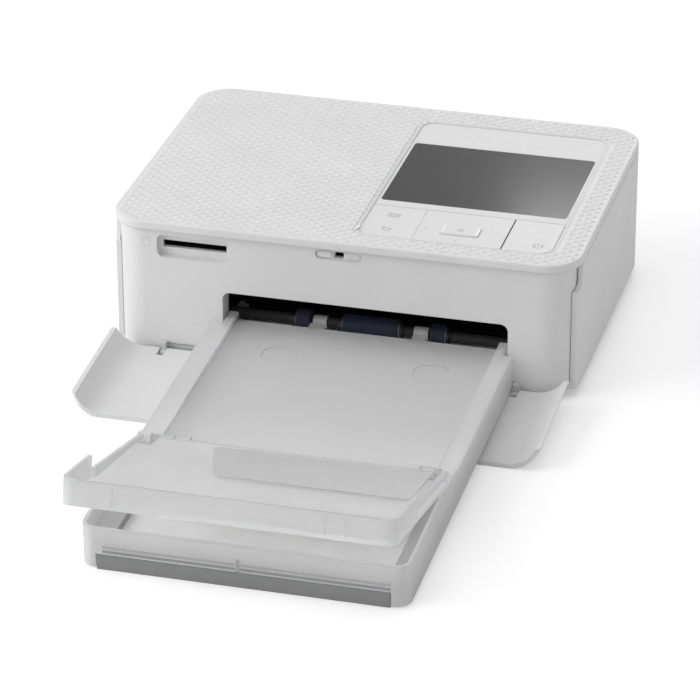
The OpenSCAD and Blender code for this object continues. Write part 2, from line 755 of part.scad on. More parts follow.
// Electronics
main_z = card_z0 + 0.9;
main_t = 1.6;
module main_board() {
  x0 = card_x - 4.4;
  color(board_green) at_front() {
    block([x0, 8, main_z], [engine_x0 - 2.2, body_d - 21, main_z + main_t]);
    block([x0, 8, main_z], [card_x1 + 1.9, 36, main_z + main_t]);
    block([x0 + 4, 50, main_z + main_t - 0.1], [x0 + 18, 64, main_z + main_t + 1.8]);
    block([x0 + 4, 96, main_z + main_t - 0.1], [x0 + 10, 108, main_z + main_t + 5]);
  }
}
socket_z = main_z + main_t;
module card_socket() {
  color(steel) at_front() difference() {
    block([card_x + 1, pocket_y + 1.9, socket_z], [card_x1 - 1.4, pocket_y + 28, socket_z + 4.4]);
    block([card_x + 1.8, pocket_y + 1, card_z0 + 3.3], [card_x1 - 2.2, pocket_y + 26, card_z0 + 6]);
  }
}
module usb_socket() {
  color(steel) at_front() difference() {
    block([-body_w / 2 + side_t + seam, usb_y - 4.5, socket_z], [card_x - 3.4, usb_y + 4.5, socket_z + 3.4]);
    block([-body_w / 2, usb_y - 3.9, socket_z + 0.5], [card_x - 5.4, usb_y + 3.9, socket_z + 2.9]);
    block([-body_w / 2, usb_y - 5, socket_z - 1], [card_x - 4.4, usb_y + 5, socket_z]);
  }
}
module dc_jack() {
  color(black) at_front() {
    difference() {
      union() {
        block([jack_x - 4.5, rear_y - 12, floor_z], [jack_x + 4.5, rear_y - shell_t - 0.2, floor_z + 11.5]);
        y_rod(jack_r, rear_y - 4, rear_y - 0.3, jack_x, jack_z);
      }
      y_rod(2.75, rear_y - 9.5, rear_y + 1, jack_x, jack_z);
    }
    y_rod(0.85, rear_y - 10, rear_y - 1.5, jack_x, jack_z);
  }
}
fan_r = fan_w / 2 - 1.6;
module fan_frame() {
  color(black) at_front() difference() {
    union() {
      difference() {
        block([fan_x - fan_w / 2, fan_y0, floor_z], [fan_x + fan_w / 2, fan_y0 + fan_d, fan_z + fan_w / 2]);
        y_rod(fan_r, fan_y0 - 1, fan_y0 + fan_d + 1, fan_x, fan_z);
      }
      intersection() {
        y_rod(fan_r + 0.5, fan_y0, fan_y0 + 1, fan_x, fan_z);
        for (a = [45, 135]) {
          translate([fan_x, 0, fan_z]) rotate([0, a, 0]) block([-fan_w, fan_y0, -1], [fan_w, fan_y0 + 1, 1]);
        }
      }
      y_rod(4, fan_y0, fan_y0 + 1, fan_x, fan_z);
      y_rod(1, fan_y0, fan_y0 + 6, fan_x, fan_z);
    }
  }
}
module fan_rotor() {
  color(black) at_front() difference() {
    union() {
      y_rod(5, fan_y0 + 1.4, fan_y0 + fan_d - 0.4, fan_x, fan_z);
      for (i = [0 : 6]) {
        translate([fan_x, 0, fan_z]) rotate([0, i * 360 / 7, 0])
          translate([0, fan_y0 + 4.6, 0]) rotate([0, 0, 35]) block([-2.6, -0.5, 4], [2.6, 0.5, fan_r - 0.6]);
      }
    }
    y_rod(1 + run_fit, fan_y0, fan_y0 + fan_d - 1.6, fan_x, fan_z);
  }
}

// Print engine
frame_y0 = pickup_y - 5;
frame_step_y = pickup_y + 21.5;
frame_y1 = capstan_y + 5;
module frame_holes(x0) {
  for (p = [pickup_at, platen_at, capstan_at, [capstan_y, pinch_z], [head_y, head_z]]) {
    x_rod(shaft_r + run_fit, x0 - 1, x0 + frame_t + 1, p[0], p[1]);
  }
}
module frame_side() {
  translate([frame_y0, floor_z]) square([frame_y1 - frame_y0, 36]);
  translate([frame_step_y, floor_z]) square([frame_y1 - frame_step_y, 44.2]);
}
module left_frame() {
  color(steel) at_front() difference() {
    union() {
      x_extrude(engine_x0, engine_x0 + frame_t) frame_side();
      block([engine_x0, platen_y - 28, floor_z], [engine_x0 + 5.6, platen_y + 32, floor_z + frame_t]);
    }
    frame_holes(engine_x0);
    for (p = [idler_large_at, idler_rear_at, idler_front_at]) {
      x_rod(stud_r, engine_x0 - 1, engine_x0 + frame_t + 1, p[0], p[1]);
    }
    x_rod(stud_r + run_fit, engine_x0 - 1, engine_x0 + frame_t + 1, tube_y1, tube_z);
  }
}
module right_frame() {
  color(steel) at_front() difference() {
    union() {
      x_extrude(engine_x1, engine_x1 + frame_t) frame_side();
      block([engine_x1, platen_y - 28, floor_z], [engine_x1 + 4, platen_y + 32, floor_z + frame_t]);
    }
    frame_holes(engine_x1);
    block([engine_x1 - 1, tube_y0 - tube_r - 1, ribbon_z - 0.7],
      [engine_x1 + 2, tube_y1 + tube_r + 1, tube_z + tube_r + 1]);
  }
}
module paper_guide() {
  gx0 = engine_x0 + frame_t;
  color(black) at_front() {
    block([gx0, pickup_y + 7, pickup_z + 4], [engine_x1, pickup_y + 9, floor_z + 36]);
    block([gx0, pickup_y - 9, floor_z + 34], [engine_x1, pickup_y + 9, floor_z + 36]);
    // Ramp that lifts the sheet from the cassette to the platen
    x_extrude(gx0, engine_x1)
      polygon([[ramp_y, floor_z], [ramp_y + 2, floor_z], [ramp_y1, paper_z - 3.4], [ramp_y1, paper_z - 1],
        [ramp_y1 - 6, paper_z - 1], [ramp_y, floor_z + 6.5]]);
  }
}
side_roller = [[-20, -14.8], [32.9, 38.2]];
centre_roller = [-1.7, 20];
module pickup_shaft() {
  color([0.85, 0.85, 0.84]) at_front() {
    x_rod(shaft_r, gear_x - 0.4, engine_x1 + 2.4, pickup_y, pickup_z);
  }
}
module roller_tread(x0, x1, r, ribs) {
  x_extrude(x0, x1) translate(pickup_at) difference() {
    circle(r);
    circle(shaft_r);
    for (i = [0 : ribs - 1]) {
      rotate(i * 360 / ribs) translate([r, 0]) square([0.7, 0.5], center = true);
    }
  }
}
module pickup_roller_centre() {
  color(navy) at_front() roller_tread(centre_roller[0], centre_roller[1], pickup_r, 24);
}
module pickup_rollers_side() {
  color(navy) at_front() for (s = side_roller) {
    roller_tread(s[0], s[1], pickup_r, 24);
  }
}
module collar(x0, x1, r) {
  difference() {
    x_rod(r, x0, x1, pickup_y, pickup_z);
    x_rod(shaft_r, x0 - 1, x1 + 1, pickup_y, pickup_z);
  }
}
module pickup_collars() {
  color(white) at_front() {
    for (x = [side_roller[0][0] - 1.6, centre_roller[0] - 1.6, centre_roller[1], side_roller[1][1]]) {
      collar(x, x + 1.6, 2.8);
    }
    collar(side_roller[0][1] + 1.2, side_roller[0][1] + 6.6, 2.5);
    collar(side_roller[1][0] - 6.8, side_roller[1][0] - 1.2, 2.5);
  }
}
module pickup_gear() {
  color(pale) at_front() gear(small_teeth, shaft_r, pickup_at, pickup_turn);
}
module roller(r, y, z) {
  x_rod(r, path_x - 53, path_x + 53, y, z);
}
module platen_roller() {
  color(black) at_front() {
    roller(platen_r, platen_y, platen_z);
    x_rod(shaft_r, gear_x - 0.4, engine_x1 + 2.4, platen_y, platen_z);
  }
}
module platen_gear() {
  color(pale) at_front() gear(small_teeth, shaft_r, platen_at, 0);
}
module capstan_roller() {
  color(steel) at_front() {
    roller(capstan_r, capstan_y, capstan_z);
    x_rod(shaft_r, gear_x - 0.4, engine_x1 + 2.4, capstan_y, capstan_z);
  }
}
module capstan_gear() {
  color(pale) at_front() gear(small_teeth, shaft_r, capstan_at, capstan_turn);
}
module pinch_roller() {
  color(black) at_front() {
    roller(capstan_r, capstan_y, pinch_z);
    x_rod(shaft_r, engine_x0 - 1.6, engine_x1 + 2.4, capstan_y, pinch_z);
  }
}
stud_r = 1.5;
module idler_gear_large() {
  color(pale) at_front() gear(large_teeth, stud_r + run_fit, idler_large_at, large_turn);
}
module idler_gear_rear() {
  color(pale) at_front() gear(small_teeth, stud_r + run_fit, idler_rear_at, rear_turn);
}
module idler_gear_front() {
  color(pale) at_front() gear(small_teeth, stud_r + run_fit, idler_front_at, front_turn);
}
module idler_studs() {
  color(steel) at_front() for (p = [idler_large_at, idler_rear_at, idler_front_at]) {
    x_rod(stud_r, gear_x - 0.4, engine_x0 + frame_t, p[0], p[1]);
    x_rod(stud_r + 1.4, gear_x + gear_t + 0.3, engine_x0, p[0], p[1]);
    x_rod(stud_r + 0.9, gear_x - 1, gear_x - 0.3, p[0], p[1]);
  }
}
motor_r = 10;
motor_x0 = gear_x - 21;
motor_x1 = gear_x - 3;
module feed_motor() {
  y = pinion_at[0];
  z = pinion_at[1];
  color(steel) at_front() difference() {
    union() {
      x_rod(motor_r, motor_x0, motor_x1, y, z);
      // Steel plate that stands the motor on the chassis floor
      block([motor_x1 - 0.1, y - 12, floor_z], [motor_x1 + 1.2, y + 12, z + 11]);
      block([motor_x1 - 9, y - 12, floor_z], [motor_x1 + 1.2, y + 12, floor_z + 1.2]);
    }
    x_rod(3, motor_x1 + 0.4, motor_x1 + 3, y, z);
  }
}
module motor_pinion() {
  color([0.80, 0.66, 0.36]) at_front() {
    gear(pinion_teeth, 0.5, pinion_at, pinion_turn);
    x_rod(1.2, motor_x1 + 0.7, gear_x + gear_t + 0.4, pinion_at[0], pinion_at[1]);
  }
}
arm_x0 = path_x - 46;
arm_x1 = path_x + 46;
head_bar_y0 = platen_y - 4.5;
head_bar_y1 = platen_y + 4.5;
head_bar_z = ribbon_z + 5.4;
arm_z = head_z + 0.2;
module head_arms() {
  // Arms that swing about the head's shaft, and the plate between them
  color(steel) at_front() difference() {
    union() {
      for (x = [arm_x0, arm_x1 - 3]) {
        x_rod(3.4, x, x + 3, head_y, head_z);
        block([x, head_bar_y0, arm_z], [x + 3, head_y, arm_z + 3]);
      }
      block([arm_x0, head_bar_y0, head_bar_z + 5], [arm_x1, head_bar_y0 + 3, arm_z + 3]);
    }
    x_rod(shaft_r + run_fit, arm_x0 - 1, arm_x1 + 1, head_y, head_z);
  }
}
module thermal_head() {
  color([0.75, 0.76, 0.78]) at_front() {
    block([arm_x0 - 3, head_bar_y0, head_bar_z], [arm_x1 + 3, head_bar_y1, head_bar_z + 5]);
    // Fins of the heat sink
    for (i = [0 : 11]) {
      x = arm_x0 + 6 + i * 7.2;
      block([x, head_bar_y0 + 3, head_bar_z + 4], [x + 1.2, head_bar_y1, head_z + 1]);
    }
  }
}
module head_shaft() {
  color(steel) at_front() x_rod(shaft_r, engine_x0 - 1.6, engine_x1 + 2.4, head_y, head_z);
}

// Ink cassette: two tubes joined at the grip end, with the ink film between them
grip_x1 = body_w / 2 - 7;
spool_r = tube_r - 1.9;
module tube(y, side) {
  difference() {
    x_rod(tube_r, tube_x0, tube_x1, y, tube_z);
    x_rod(tube_r - 1.3, tube_x0 + 1.2, tube_x1 + 1, y, tube_z);
    x_rod(3, tube_x0 - 1, tube_x1, y, tube_z);
    // Slit that lets the ink film out at the lower inner side
    rotate_about(y, tube_z, side) block([tube_x0 + 3, y - 1.6, tube_z - 20], [tube_x1 - 3, y + 1.6, tube_z]);
  }
}
module rotate_about(y, z, a) {
  translate([0, y, z]) rotate([a, 0, 0]) translate([0, -y, -z]) children();
}
module ink_cassette() {
  color([0.16, 0.17, 0.19]) at_front() {
    tube(tube_y0, 20);
    tube(tube_y1, -20);
    difference() {
      union() {
        for (y = [tube_y0, tube_y1]) {
          x_rod(tube_r, tube_x1, tube_x1 + 4, y, tube_z);
        }
        block([tube_x1, tube_y0, tube_z - 5], [tube_x1 + 4, tube_y1, tube_z + 5]);
        block([tube_x1 + 3, tube_y0 + 9, tube_z - 3], [grip_x1, tube_y1 - 9, tube_z + 3]);
      }
      for (y = [tube_y0, tube_y1]) {
        x_rod(2 + run_fit, tube_x1 - 1, tube_x1 + 3, y, tube_z);
      }
    }
  }
}
module spool(y, wound_r) {
  x_rod(wound_r, tube_x0 + 3, tube_x1 - 2, y, tube_z);
  x_rod(2, tube_x0 + 2, tube_x1 + 2.6, y, tube_z);
  x_rod(2.4, tube_x0 - 1.6, tube_x0 + 3.2, y, tube_z);
}
supply_r = spool_r;
takeup_r = 3.4;
module supply_spool() {
  color(navy) at_front() spool(tube_y0, supply_r);
}
module takeup_spool() {
  color(navy) at_front() spool(tube_y1, takeup_r);
}
film_t = 0.4;
module ink_ribbon() {
  // From each spool's slit down to the print line and flat across it
  a = tube_y0 + tube_r * sin(20);
  b = tube_y1 - tube_r * sin(20);
  z1 = tube_z - tube_r * cos(20) + 0.6;
  color(navy) at_front() x_extrude(path_x - 49.4, path_x + 49.4)
    polygon([[a, z1], [a + 0.6, z1], [a + 4, ribbon_z + film_t], [b - 4, ribbon_z + film_t], [b - 0.6, z1],
      [b, z1], [b - 3.6, ribbon_z], [a + 3.6, ribbon_z]]);
}
module ribbon_drive() {
  color(pale) at_front() {
    x_rod(stud_r, engine_x0 - 1.6, engine_x0 + frame_t + 1, tube_y1, tube_z);
    x_rod(4.5, engine_x0 + frame_t + 0.4, tube_x0 - 2, tube_y1, tube_z);
  }
}

// Paper cassette
out_x0 = path_x - cassette_shift - cassette_w / 2;
out_x1 = out_x0 + cassette_w;
ins_x0 = path_x - insert_w / 2;
ins_x1 = path_x + insert_w / 2;
rail_x = 51.2;
cas_y0 = -cassette_reach;
hinge_y = -lid_hinge;
foot_x0 = path_x - 53.5;
foot_x1 = path_x + 51.6;
module front_plan(inset) {
  // Front part of the cassette, rounded at its front corners
  r = 5 - inset;
  x0 = out_x0 + inset;
  x1 = out_x1 - inset;
  translate([x0 + r, cas_y0 + inset]) square([x1 - x0 - 2 * r, insert_y0 - cas_y0 - 2 * inset]);
  translate([x0, cas_y0 + inset + r]) square([x1 - x0, insert_y0 - cas_y0 - 2 * inset - r]);
  for (x = [x0 + r, x1 - r]) {
    translate([x, cas_y0 + inset + r]) circle(r);
  }
}
module tray_wall(z0, z1) {
  z_extrude(z0, z1) difference() {
    front_plan(0);
    front_plan(frost_t);
  }
}
module cassette_base() {
  color(frost) in_cassette() difference() {
    union() {
      tray_wall(0, rail_h);
      // The walls in front of the lids' hinge stand higher
      intersection() {
        tray_wall(rail_h - 0.2, tray_h);
        block([-body_w, 2 * cas_y0, 0], [body_w, hinge_y - 4.5, body_h]);
      }
      // Rails beside the rear lid
      for (s = [[out_x0, path_x - rail_x], [path_x + rail_x, out_x1]]) {
        block([s[0], hinge_y + 3.4, rail_h - 2.3], [s[1], insert_y0, rail_h]);
      }
      // Part that enters the slot
      block([ins_x0, insert_y0 - 1, insert_z], [ins_x1, insert_d, insert_z + frost_t]);
      block([ins_x0, insert_d - frost_t, insert_z], [ins_x1, insert_d, insert_z + 4]);
      for (s = [[ins_x0, ins_x0 + frost_t], [ins_x1 - frost_t, ins_x1]]) {
        block([s[0], insert_y0 - 1, insert_z], [s[1], insert_d, insert_top]);
        block([s[0], insert_y0 - 1, insert_top - 0.2], [s[1], 9, rail_h]);
      }
      for (s = [[ins_x0, path_x - rail_x], [path_x + rail_x, ins_x1]]) {
        block([s[0], insert_y0 - 0.2, rail_h - 2.3], [s[1], 9, rail_h]);
      }
      // Hinge lugs for the two lids
      for (s = [[out_x0, out_x0 + 5], [out_x1 - 5, out_x1]]) {
        block([s[0], hinge_y - 3, rail_h - 5.5], [s[1], hinge_y + 3.6, rail_h]);
        x_rod(2, s[0], s[1], hinge_y, rail_h);
      }
    }
    // Way through from the tray into the printer
    block([ins_x0 + frost_t, insert_y0 - 3.2, insert_z + frost_t],
      [ins_x1 - frost_t, insert_y0 + 0.1, rail_h - 2.5]);
    block([path_x - rail_x, insert_y0 - 3.2, rail_h - 2.6], [path_x + rail_x, insert_y0 + 0.1, body_h]);
    x_rod(lid_pin_r + run_fit, out_x0 + 1, out_x1 - 1, hinge_y, rail_h);
    // Notch for the grey foot
    block([foot_x0 - seam, cas_y0 - 1, -9], [foot_x1 + seam, cas_y0 + 4, foot_h + 3]);
  }
}
module cassette_foot() {
  // Grey floor of the tray, with the foot that rests on the table at its front
  inner = frost_t + seam;
  color(grey) intersection() {
    at_front() block([-body_w, -2 * body_d, 0], [body_w, body_d, body_h]);
    in_cassette() union() {
      z_extrude(0, tray_floor) front_plan(inner);
      for (x = [out_x0 + inner, out_x1 - inner - 1.2]) {
        block([x, cas_y0 + 6.5, 0], [x + 1.2, insert_y0 - inner, 7.6]);
      }
      block([foot_x0, cas_y0 + 0.2, -foot_h], [foot_x1, cas_y0 + 3.6, foot_h + 3 - seam]);
      // Bed ribs under the paper
      for (i = [-2 : 2]) {
        x = path_x + i * 22;
        block([x - 0.8, cas_y0 + 9, 0], [x + 0.8, -34, paper_bed]);
      }
    }
  }
}
lid_x0 = path_x - rail_x + 0.4;
lid_x1 = path_x + rail_x - 0.4;
lid_rear = lid_hinge + 7;
tab_x = [[-13.6, -7.8], [26.8, 32.2]];
knuckle_r = 1.9;
// The rear lid slopes down a little towards the printer
module at_lids(a) {
  in_cassette() translate([0, hinge_y, rail_h]) rotate([a, 0, 0]) children();
}
module inner_lid() {
  w0 = -2;
  w1 = w0 + frost_t;
  color(frost) at_lids(-lid_drop) difference() {
    union() {
      block([lid_x0, knuckle_r + 0.4, w0], [lid_x1, lid_rear, w1]);
      for (t = tab_x) {
        block([t[0], lid_rear - 1, w0], [t[1], lid_rear + 4, w1]);
      }
      for (s = [[lid_x0, lid_x0 + 5], [lid_x1 - 5, lid_x1]]) {
        x_rod(knuckle_r, s[0], s[1], 0, 0);
        block([s[0], 0, w0 + 0.1], [s[1], knuckle_r + 0.6, w1]);
      }
    }
    x_rod(lid_pin_r + run_fit, lid_x0 - 1, lid_x1 + 1, 0, 0);
    // Shallow thumb marks
    for (x = [path_x - 27.7, path_x + 31.1]) {
      z_extrude(w1 - 0.3, w1 + 1) round_rect(x - 6.7, lid_rear - 31, x + 6.7, lid_rear - 18, 5.5);
    }
  }
}
lip_x0 = out_x0;
lip_x1 = out_x1;
// The lid's side walls stand inside the tray's walls
fin_x0 = out_x0 + frost_t + seam;
fin_x1 = out_x1 - frost_t - seam;
wing_u = 59;
wall_u = 13;
window_x0 = -19;
window_x1 = path_x + 49;
// The front lid is drawn flat, forwards from the hinge, and then tilted
module lid_plan(inset) {
  r = 4.5 - inset;
  u1 = -lid_len + inset;
  x0 = lip_x0 + inset;
  x1 = lip_x1 - inset;
  translate([x0 + r, u1]) square([x1 - x0 - 2 * r, lid_len]);
  translate([x0, u1 + r]) square([x1 - x0, lid_len]);
  for (x = [x0 + r, x1 - r]) {
    translate([x, u1 + r]) circle(r);
  }
}
// Keeps what lies further from the hinge than u
module beyond(u) {
  intersection() {
    children();
    translate([-body_w, -2 * lid_len]) square([2 * body_w, 2 * lid_len - u]);
  }
}
module outer_lid() {
  w0 = lid_under;
  w1 = w0 + frost_t;
  color(frost) at_lids(-lid_tilt - cassette_tilt) difference() {
    union() {
      z_extrude(w0, w1) beyond(wall_u) lid_plan(0);
      block([lid_x0, -wall_u - 1, w0], [lid_x1, -knuckle_r - 0.4, w1]);
      // End wall with its wings, and the lower side walls
      z_extrude(w0, w0 + lip_h) beyond(wing_u) difference() {
        lid_plan(0);
        lid_plan(frost_t);
      }
      for (x = [fin_x0, fin_x1 - frost_t]) {
        x_extrude(x, x + frost_t)
          polygon([[-wing_u - 1, w0], [-wall_u, w0], [-4.5, w0 + 0.8], [-4.5, w0 + 2.9],
            [-wing_u - 1, w0 + 5.4]]);
      }
      for (s = [[lid_x0 + 5.4, lid_x0 + 11], [lid_x1 - 11, lid_x1 - 5.4]]) {
        x_rod(knuckle_r, s[0], s[1], 0, 0);
        block([s[0], -knuckle_r - 0.6, w0], [s[1], 0, w1]);
      }
    }
    // The lid is thinner here, seen from below
    z_extrude(w0 - 1, w1 - 0.7) round_rect(window_x0, -25.5, window_x1, -4.5, 3);
    x_rod(lid_pin_r + run_fit, lid_x0, lid_x1, 0, 0);
  }
}
module lid_pins() {
  color(steel) in_cassette() {
    x_rod(lid_pin_r, out_x0 + 1.2, lid_x0 + 12, hinge_y, rail_h);
    x_rod(lid_pin_r, lid_x1 - 12, out_x1 - 1.2, hinge_y, rail_h);
  }
}
module lift_plate() {
  color(steel) in_cassette()
    block([path_x - 49, -32, paper_bed - 0.8], [path_x + 49, insert_d - 5, paper_bed]);
}
module lift_spring() {
  // Two leaves, bowed between the cassette's floor and the lift plate
  gap = paper_bed - 0.8 - insert_z - frost_t;
  color(steel) in_cassette() for (x = [path_x - 30, path_x + 24]) {
    x_extrude(x, x + 6) translate([0, insert_z + frost_t])
      polygon([[2, 0], [6, 0], [10, gap - 0.4], [14, gap - 0.4], [18, 0], [22, 0], [22, 0.4], [18.4, 0.4],
        [14.4, gap], [9.6, gap], [5.6, 0.4], [2, 0.4]]);
  }
}
module paper_stack() {
  color([0.95, 0.95, 0.94]) in_cassette()
    block([path_x - sheet_w / 2, insert_d - 5.5 - sheet_d, paper_bed],
      [path_x + sheet_w / 2, insert_d - 5.5, paper_bed + stack_h]);
}

top_cover();
front_panel();
rear_panel();
left_panel();
bottom_chassis();
ink_door();
ink_door_pins();
front_door();
front_door_pins();
rubber_feet();
case_screws();
control_bezel();
display_window();
display_module();
menu_key();
select_key();
ok_button();
power_key();
key_board();
main_board();
card_socket();
usb_socket();
dc_jack();
fan_frame();
fan_rotor();
left_frame();
right_frame();
paper_guide();
pickup_shaft();
pickup_roller_centre();
pickup_rollers_side();
pickup_collars();
pickup_gear();
platen_roller();
platen_gear();
capstan_roller();
capstan_gear();
pinch_roller();
idler_gear_large();
idler_gear_rear();
idler_gear_front();
idler_studs();
feed_motor();
motor_pinion();
thermal_head();
head_arms();
head_shaft();
ink_cassette();
supply_spool();
takeup_spool();
ink_ribbon();
ribbon_drive();
cassette_base();
cassette_foot();
inner_lid();
outer_lid();
lid_pins();
lift_plate();
lift_spring();
paper_stack();
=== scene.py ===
"""Looks of a compact photo printer with its paper cassette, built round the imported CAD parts."""

import math

import bpy
from mathutils import Matrix, Vector


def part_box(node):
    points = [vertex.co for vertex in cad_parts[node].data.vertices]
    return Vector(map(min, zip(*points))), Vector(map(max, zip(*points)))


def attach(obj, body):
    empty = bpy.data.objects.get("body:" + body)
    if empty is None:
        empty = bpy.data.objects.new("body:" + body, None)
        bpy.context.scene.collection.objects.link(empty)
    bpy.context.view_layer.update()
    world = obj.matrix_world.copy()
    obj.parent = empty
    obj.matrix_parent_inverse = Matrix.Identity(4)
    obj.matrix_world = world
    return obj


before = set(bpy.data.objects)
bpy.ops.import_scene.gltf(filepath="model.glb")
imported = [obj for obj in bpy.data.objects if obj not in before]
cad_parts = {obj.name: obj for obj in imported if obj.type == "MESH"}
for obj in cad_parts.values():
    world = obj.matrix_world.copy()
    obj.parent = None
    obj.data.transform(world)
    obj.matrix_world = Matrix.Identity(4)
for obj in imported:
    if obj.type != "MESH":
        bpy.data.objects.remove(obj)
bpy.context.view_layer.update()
MM = 0.001

# The printer's body, measured on the CAD cover. Shapes are placed in mm from the middle of its
# front edge on the floor: x to the right, y to the back, z up.
cover_lo, cover_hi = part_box("top_cover")
FRONT_Y = cover_lo.y / MM
BODY_W = (cover_hi.x - cover_lo.x) / MM
BODY_D = (cover_hi.y - cover_lo.y) / MM
BODY_H = cover_hi.z / MM


def at(x, y, z):
    """A point in mm from the middle of the front edge, as a point in the frame."""
    return Vector((x * MM, (y + FRONT_Y) * MM, z * MM))


def box_mm(node):
    """A node's lowest and highest corner, in mm from the middle of the front edge."""
    lo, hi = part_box(node)
    shift = Vector((0, FRONT_Y, 0))
    return lo / MM - shift, hi / MM - shift


def middle(node):
    """The middle of a node's box, in mm from the middle of the front edge."""
    return [(low + high) / 2 for low, high in zip(*box_mm(node))]


def add_object(name, data):
    obj = bpy.data.objects.new(name, data)
    bpy.context.scene.collection.objects.link(obj)
    return obj


# Camera at the photograph's viewpoint. Angles are in degrees, lengths in mm.
VIEW_AZIMUTH = 14.877
VIEW_ELEVATION = 26.791
VIEW_ROLL = -0.075
VIEW_CENTRE = (13.991, -31.498, 30.0)
VIEW_DISTANCE = 1428.84
VIEW_SHIFT = (-0.0031, -0.0001)
FOCAL_PIXELS = 3868.8
FRAME_PIXELS = 700
SENSOR = 36.0
CLIP_METRES = (0.05, 20)


def add_camera():
    data = bpy.data.cameras.new("camera")
    cam = add_object("camera", data)
    azimuth, elevation = math.radians(VIEW_AZIMUTH), math.radians(VIEW_ELEVATION)
    back = Vector((
        math.sin(azimuth) * math.cos(elevation),
        -math.cos(azimuth) * math.cos(elevation),
        math.sin(elevation),
    ))
    turn = (-back).to_track_quat("-Z", "Y").to_matrix()
    roll = Matrix.Rotation(math.radians(VIEW_ROLL), 3, "Z")
    cam.location = at(*VIEW_CENTRE) + back * VIEW_DISTANCE * MM
    cam.rotation_mode = "QUATERNION"
    cam.rotation_quaternion = (turn @ roll).to_quaternion()
    data.sensor_width = SENSOR
    data.lens = FOCAL_PIXELS / FRAME_PIXELS * SENSOR
    data.shift_x, data.shift_y = VIEW_SHIFT
    data.clip_start, data.clip_end = CLIP_METRES
    bpy.context.scene.camera = cam


# Helpers for materials
NOISE_LOW, NOISE_HIGH = 0.3, 0.7  # the span in which nearly all of a noise's values lie
EDGE_SAMPLES = 4


def new_material(name):
    mat = bpy.data.materials.new(name)
    mat.use_nodes = True
    tree = mat.node_tree
    shader = next(n for n in tree.nodes if n.type == "BSDF_PRINCIPLED")
    return mat, tree, shader


def noise(tree, size_mm, detail=3.0, rough=0.5, stretch=None):
    """Noise with features of about size_mm, fixed to the piece."""
    source = tree.nodes.new("ShaderNodeTexCoord").outputs["Object"]
    if stretch:
        mapping = tree.nodes.new("ShaderNodeMapping")
        mapping.inputs["Scale"].default_value = stretch
        tree.links.new(source, mapping.inputs["Vector"])
        source = mapping.outputs["Vector"]
    node = tree.nodes.new("ShaderNodeTexNoise")
    node.inputs["Scale"].default_value = 1 / MM / size_mm
    node.inputs["Detail"].default_value = detail
    node.inputs["Roughness"].default_value = rough
    tree.links.new(source, node.inputs["Vector"])
    return node.outputs["Fac"]


def shade(colour, factor):
    return tuple(min(1, c * factor) for c in colour)


def set_colour(tree, shader, value, dark, light):
    """Base colour that a noise moves between two colours."""
    ramp = tree.nodes.new("ShaderNodeValToRGB")
    for element, place, colour in zip(
        ramp.color_ramp.elements, (NOISE_LOW, NOISE_HIGH), (dark, light)
    ):
        element.position = place
        element.color = (*colour, 1)
    tree.links.new(value, ramp.inputs["Fac"])
    tree.links.new(ramp.outputs["Color"], shader.inputs["Base Color"])


def set_roughness(tree, shader, value, low, high):
    """Roughness that a noise moves between low and high."""
    node = tree.nodes.new("ShaderNodeMapRange")
    node.inputs["From Min"].default_value = NOISE_LOW
    node.inputs["From Max"].default_value = NOISE_HIGH
    node.inputs["To Min"].default_value = low
    node.inputs["To Max"].default_value = high
    tree.links.new(value, node.inputs["Value"])
    tree.links.new(node.outputs["Result"], shader.inputs["Roughness"])


def set_bump(tree, shader, height, depth_mm, strength, edge_mm=0.0):
    """Surface relief, over edges softened by edge_mm."""
    node = tree.nodes.new("ShaderNodeBump")
    node.inputs["Distance"].default_value = depth_mm * MM
    node.inputs["Strength"].default_value = strength
    tree.links.new(height, node.inputs["Height"])
    if edge_mm:
        soft = tree.nodes.new("ShaderNodeBevel")
        soft.samples = EDGE_SAMPLES
        soft.inputs["Radius"].default_value = edge_mm * MM
        tree.links.new(soft.outputs["Normal"], node.inputs["Normal"])
    tree.links.new(node.outputs["Normal"], shader.inputs["Normal"])


# Kinds of material
def plastic(name, colour, rough, grain_mm, depth_mm, strength, uneven, edge_mm):
    """Moulded plastic with a fine spark-eroded grain and slightly uneven shade and sheen."""
    mat, tree, shader = new_material(name)
    dark, light = shade(colour, 1 - uneven), shade(colour, 1 + uneven)
    set_colour(tree, shader, noise(tree, 28), dark, light)
    set_roughness(tree, shader, noise(tree, 3.2), rough - 0.05, rough + 0.05)
    set_bump(tree, shader, noise(tree, grain_mm, rough=0.6), depth_mm, strength, edge_mm)
    shader.inputs["Specular IOR Level"].default_value = 0.42
    return mat


def frosted(name, colour, clear, rough):
    """Frosted, milky plastic: light goes through it and is scattered on the way."""
    mat, tree, shader = new_material(name)
    set_colour(tree, shader, noise(tree, 16), shade(colour, 0.975), colour)
    set_roughness(tree, shader, noise(tree, 2.4), rough - 0.04, rough + 0.04)
    set_bump(tree, shader, noise(tree, 0.3, rough=0.6), depth_mm=0.012, strength=0.3, edge_mm=0.4)
    shader.inputs["Transmission Weight"].default_value = clear
    shader.inputs["IOR"].default_value = 1.2
    # Most lamp light passes straight through, so that what lies behind is lit
    out = next(n for n in tree.nodes if n.type == "OUTPUT_MATERIAL")
    path = tree.nodes.new("ShaderNodeLightPath")
    share = tree.nodes.new("ShaderNodeMath")
    share.operation = "MULTIPLY"
    share.inputs[1].default_value = 0.8
    through = tree.nodes.new("ShaderNodeBsdfTransparent")
    mix = tree.nodes.new("ShaderNodeMixShader")
    tree.links.new(path.outputs["Is Shadow Ray"], share.inputs[0])
    tree.links.new(share.outputs["Value"], mix.inputs["Fac"])
    tree.links.new(shader.outputs["BSDF"], mix.inputs[1])
    tree.links.new(through.outputs["BSDF"], mix.inputs[2])
    tree.links.new(mix.outputs["Shader"], out.inputs["Surface"])
    return mat


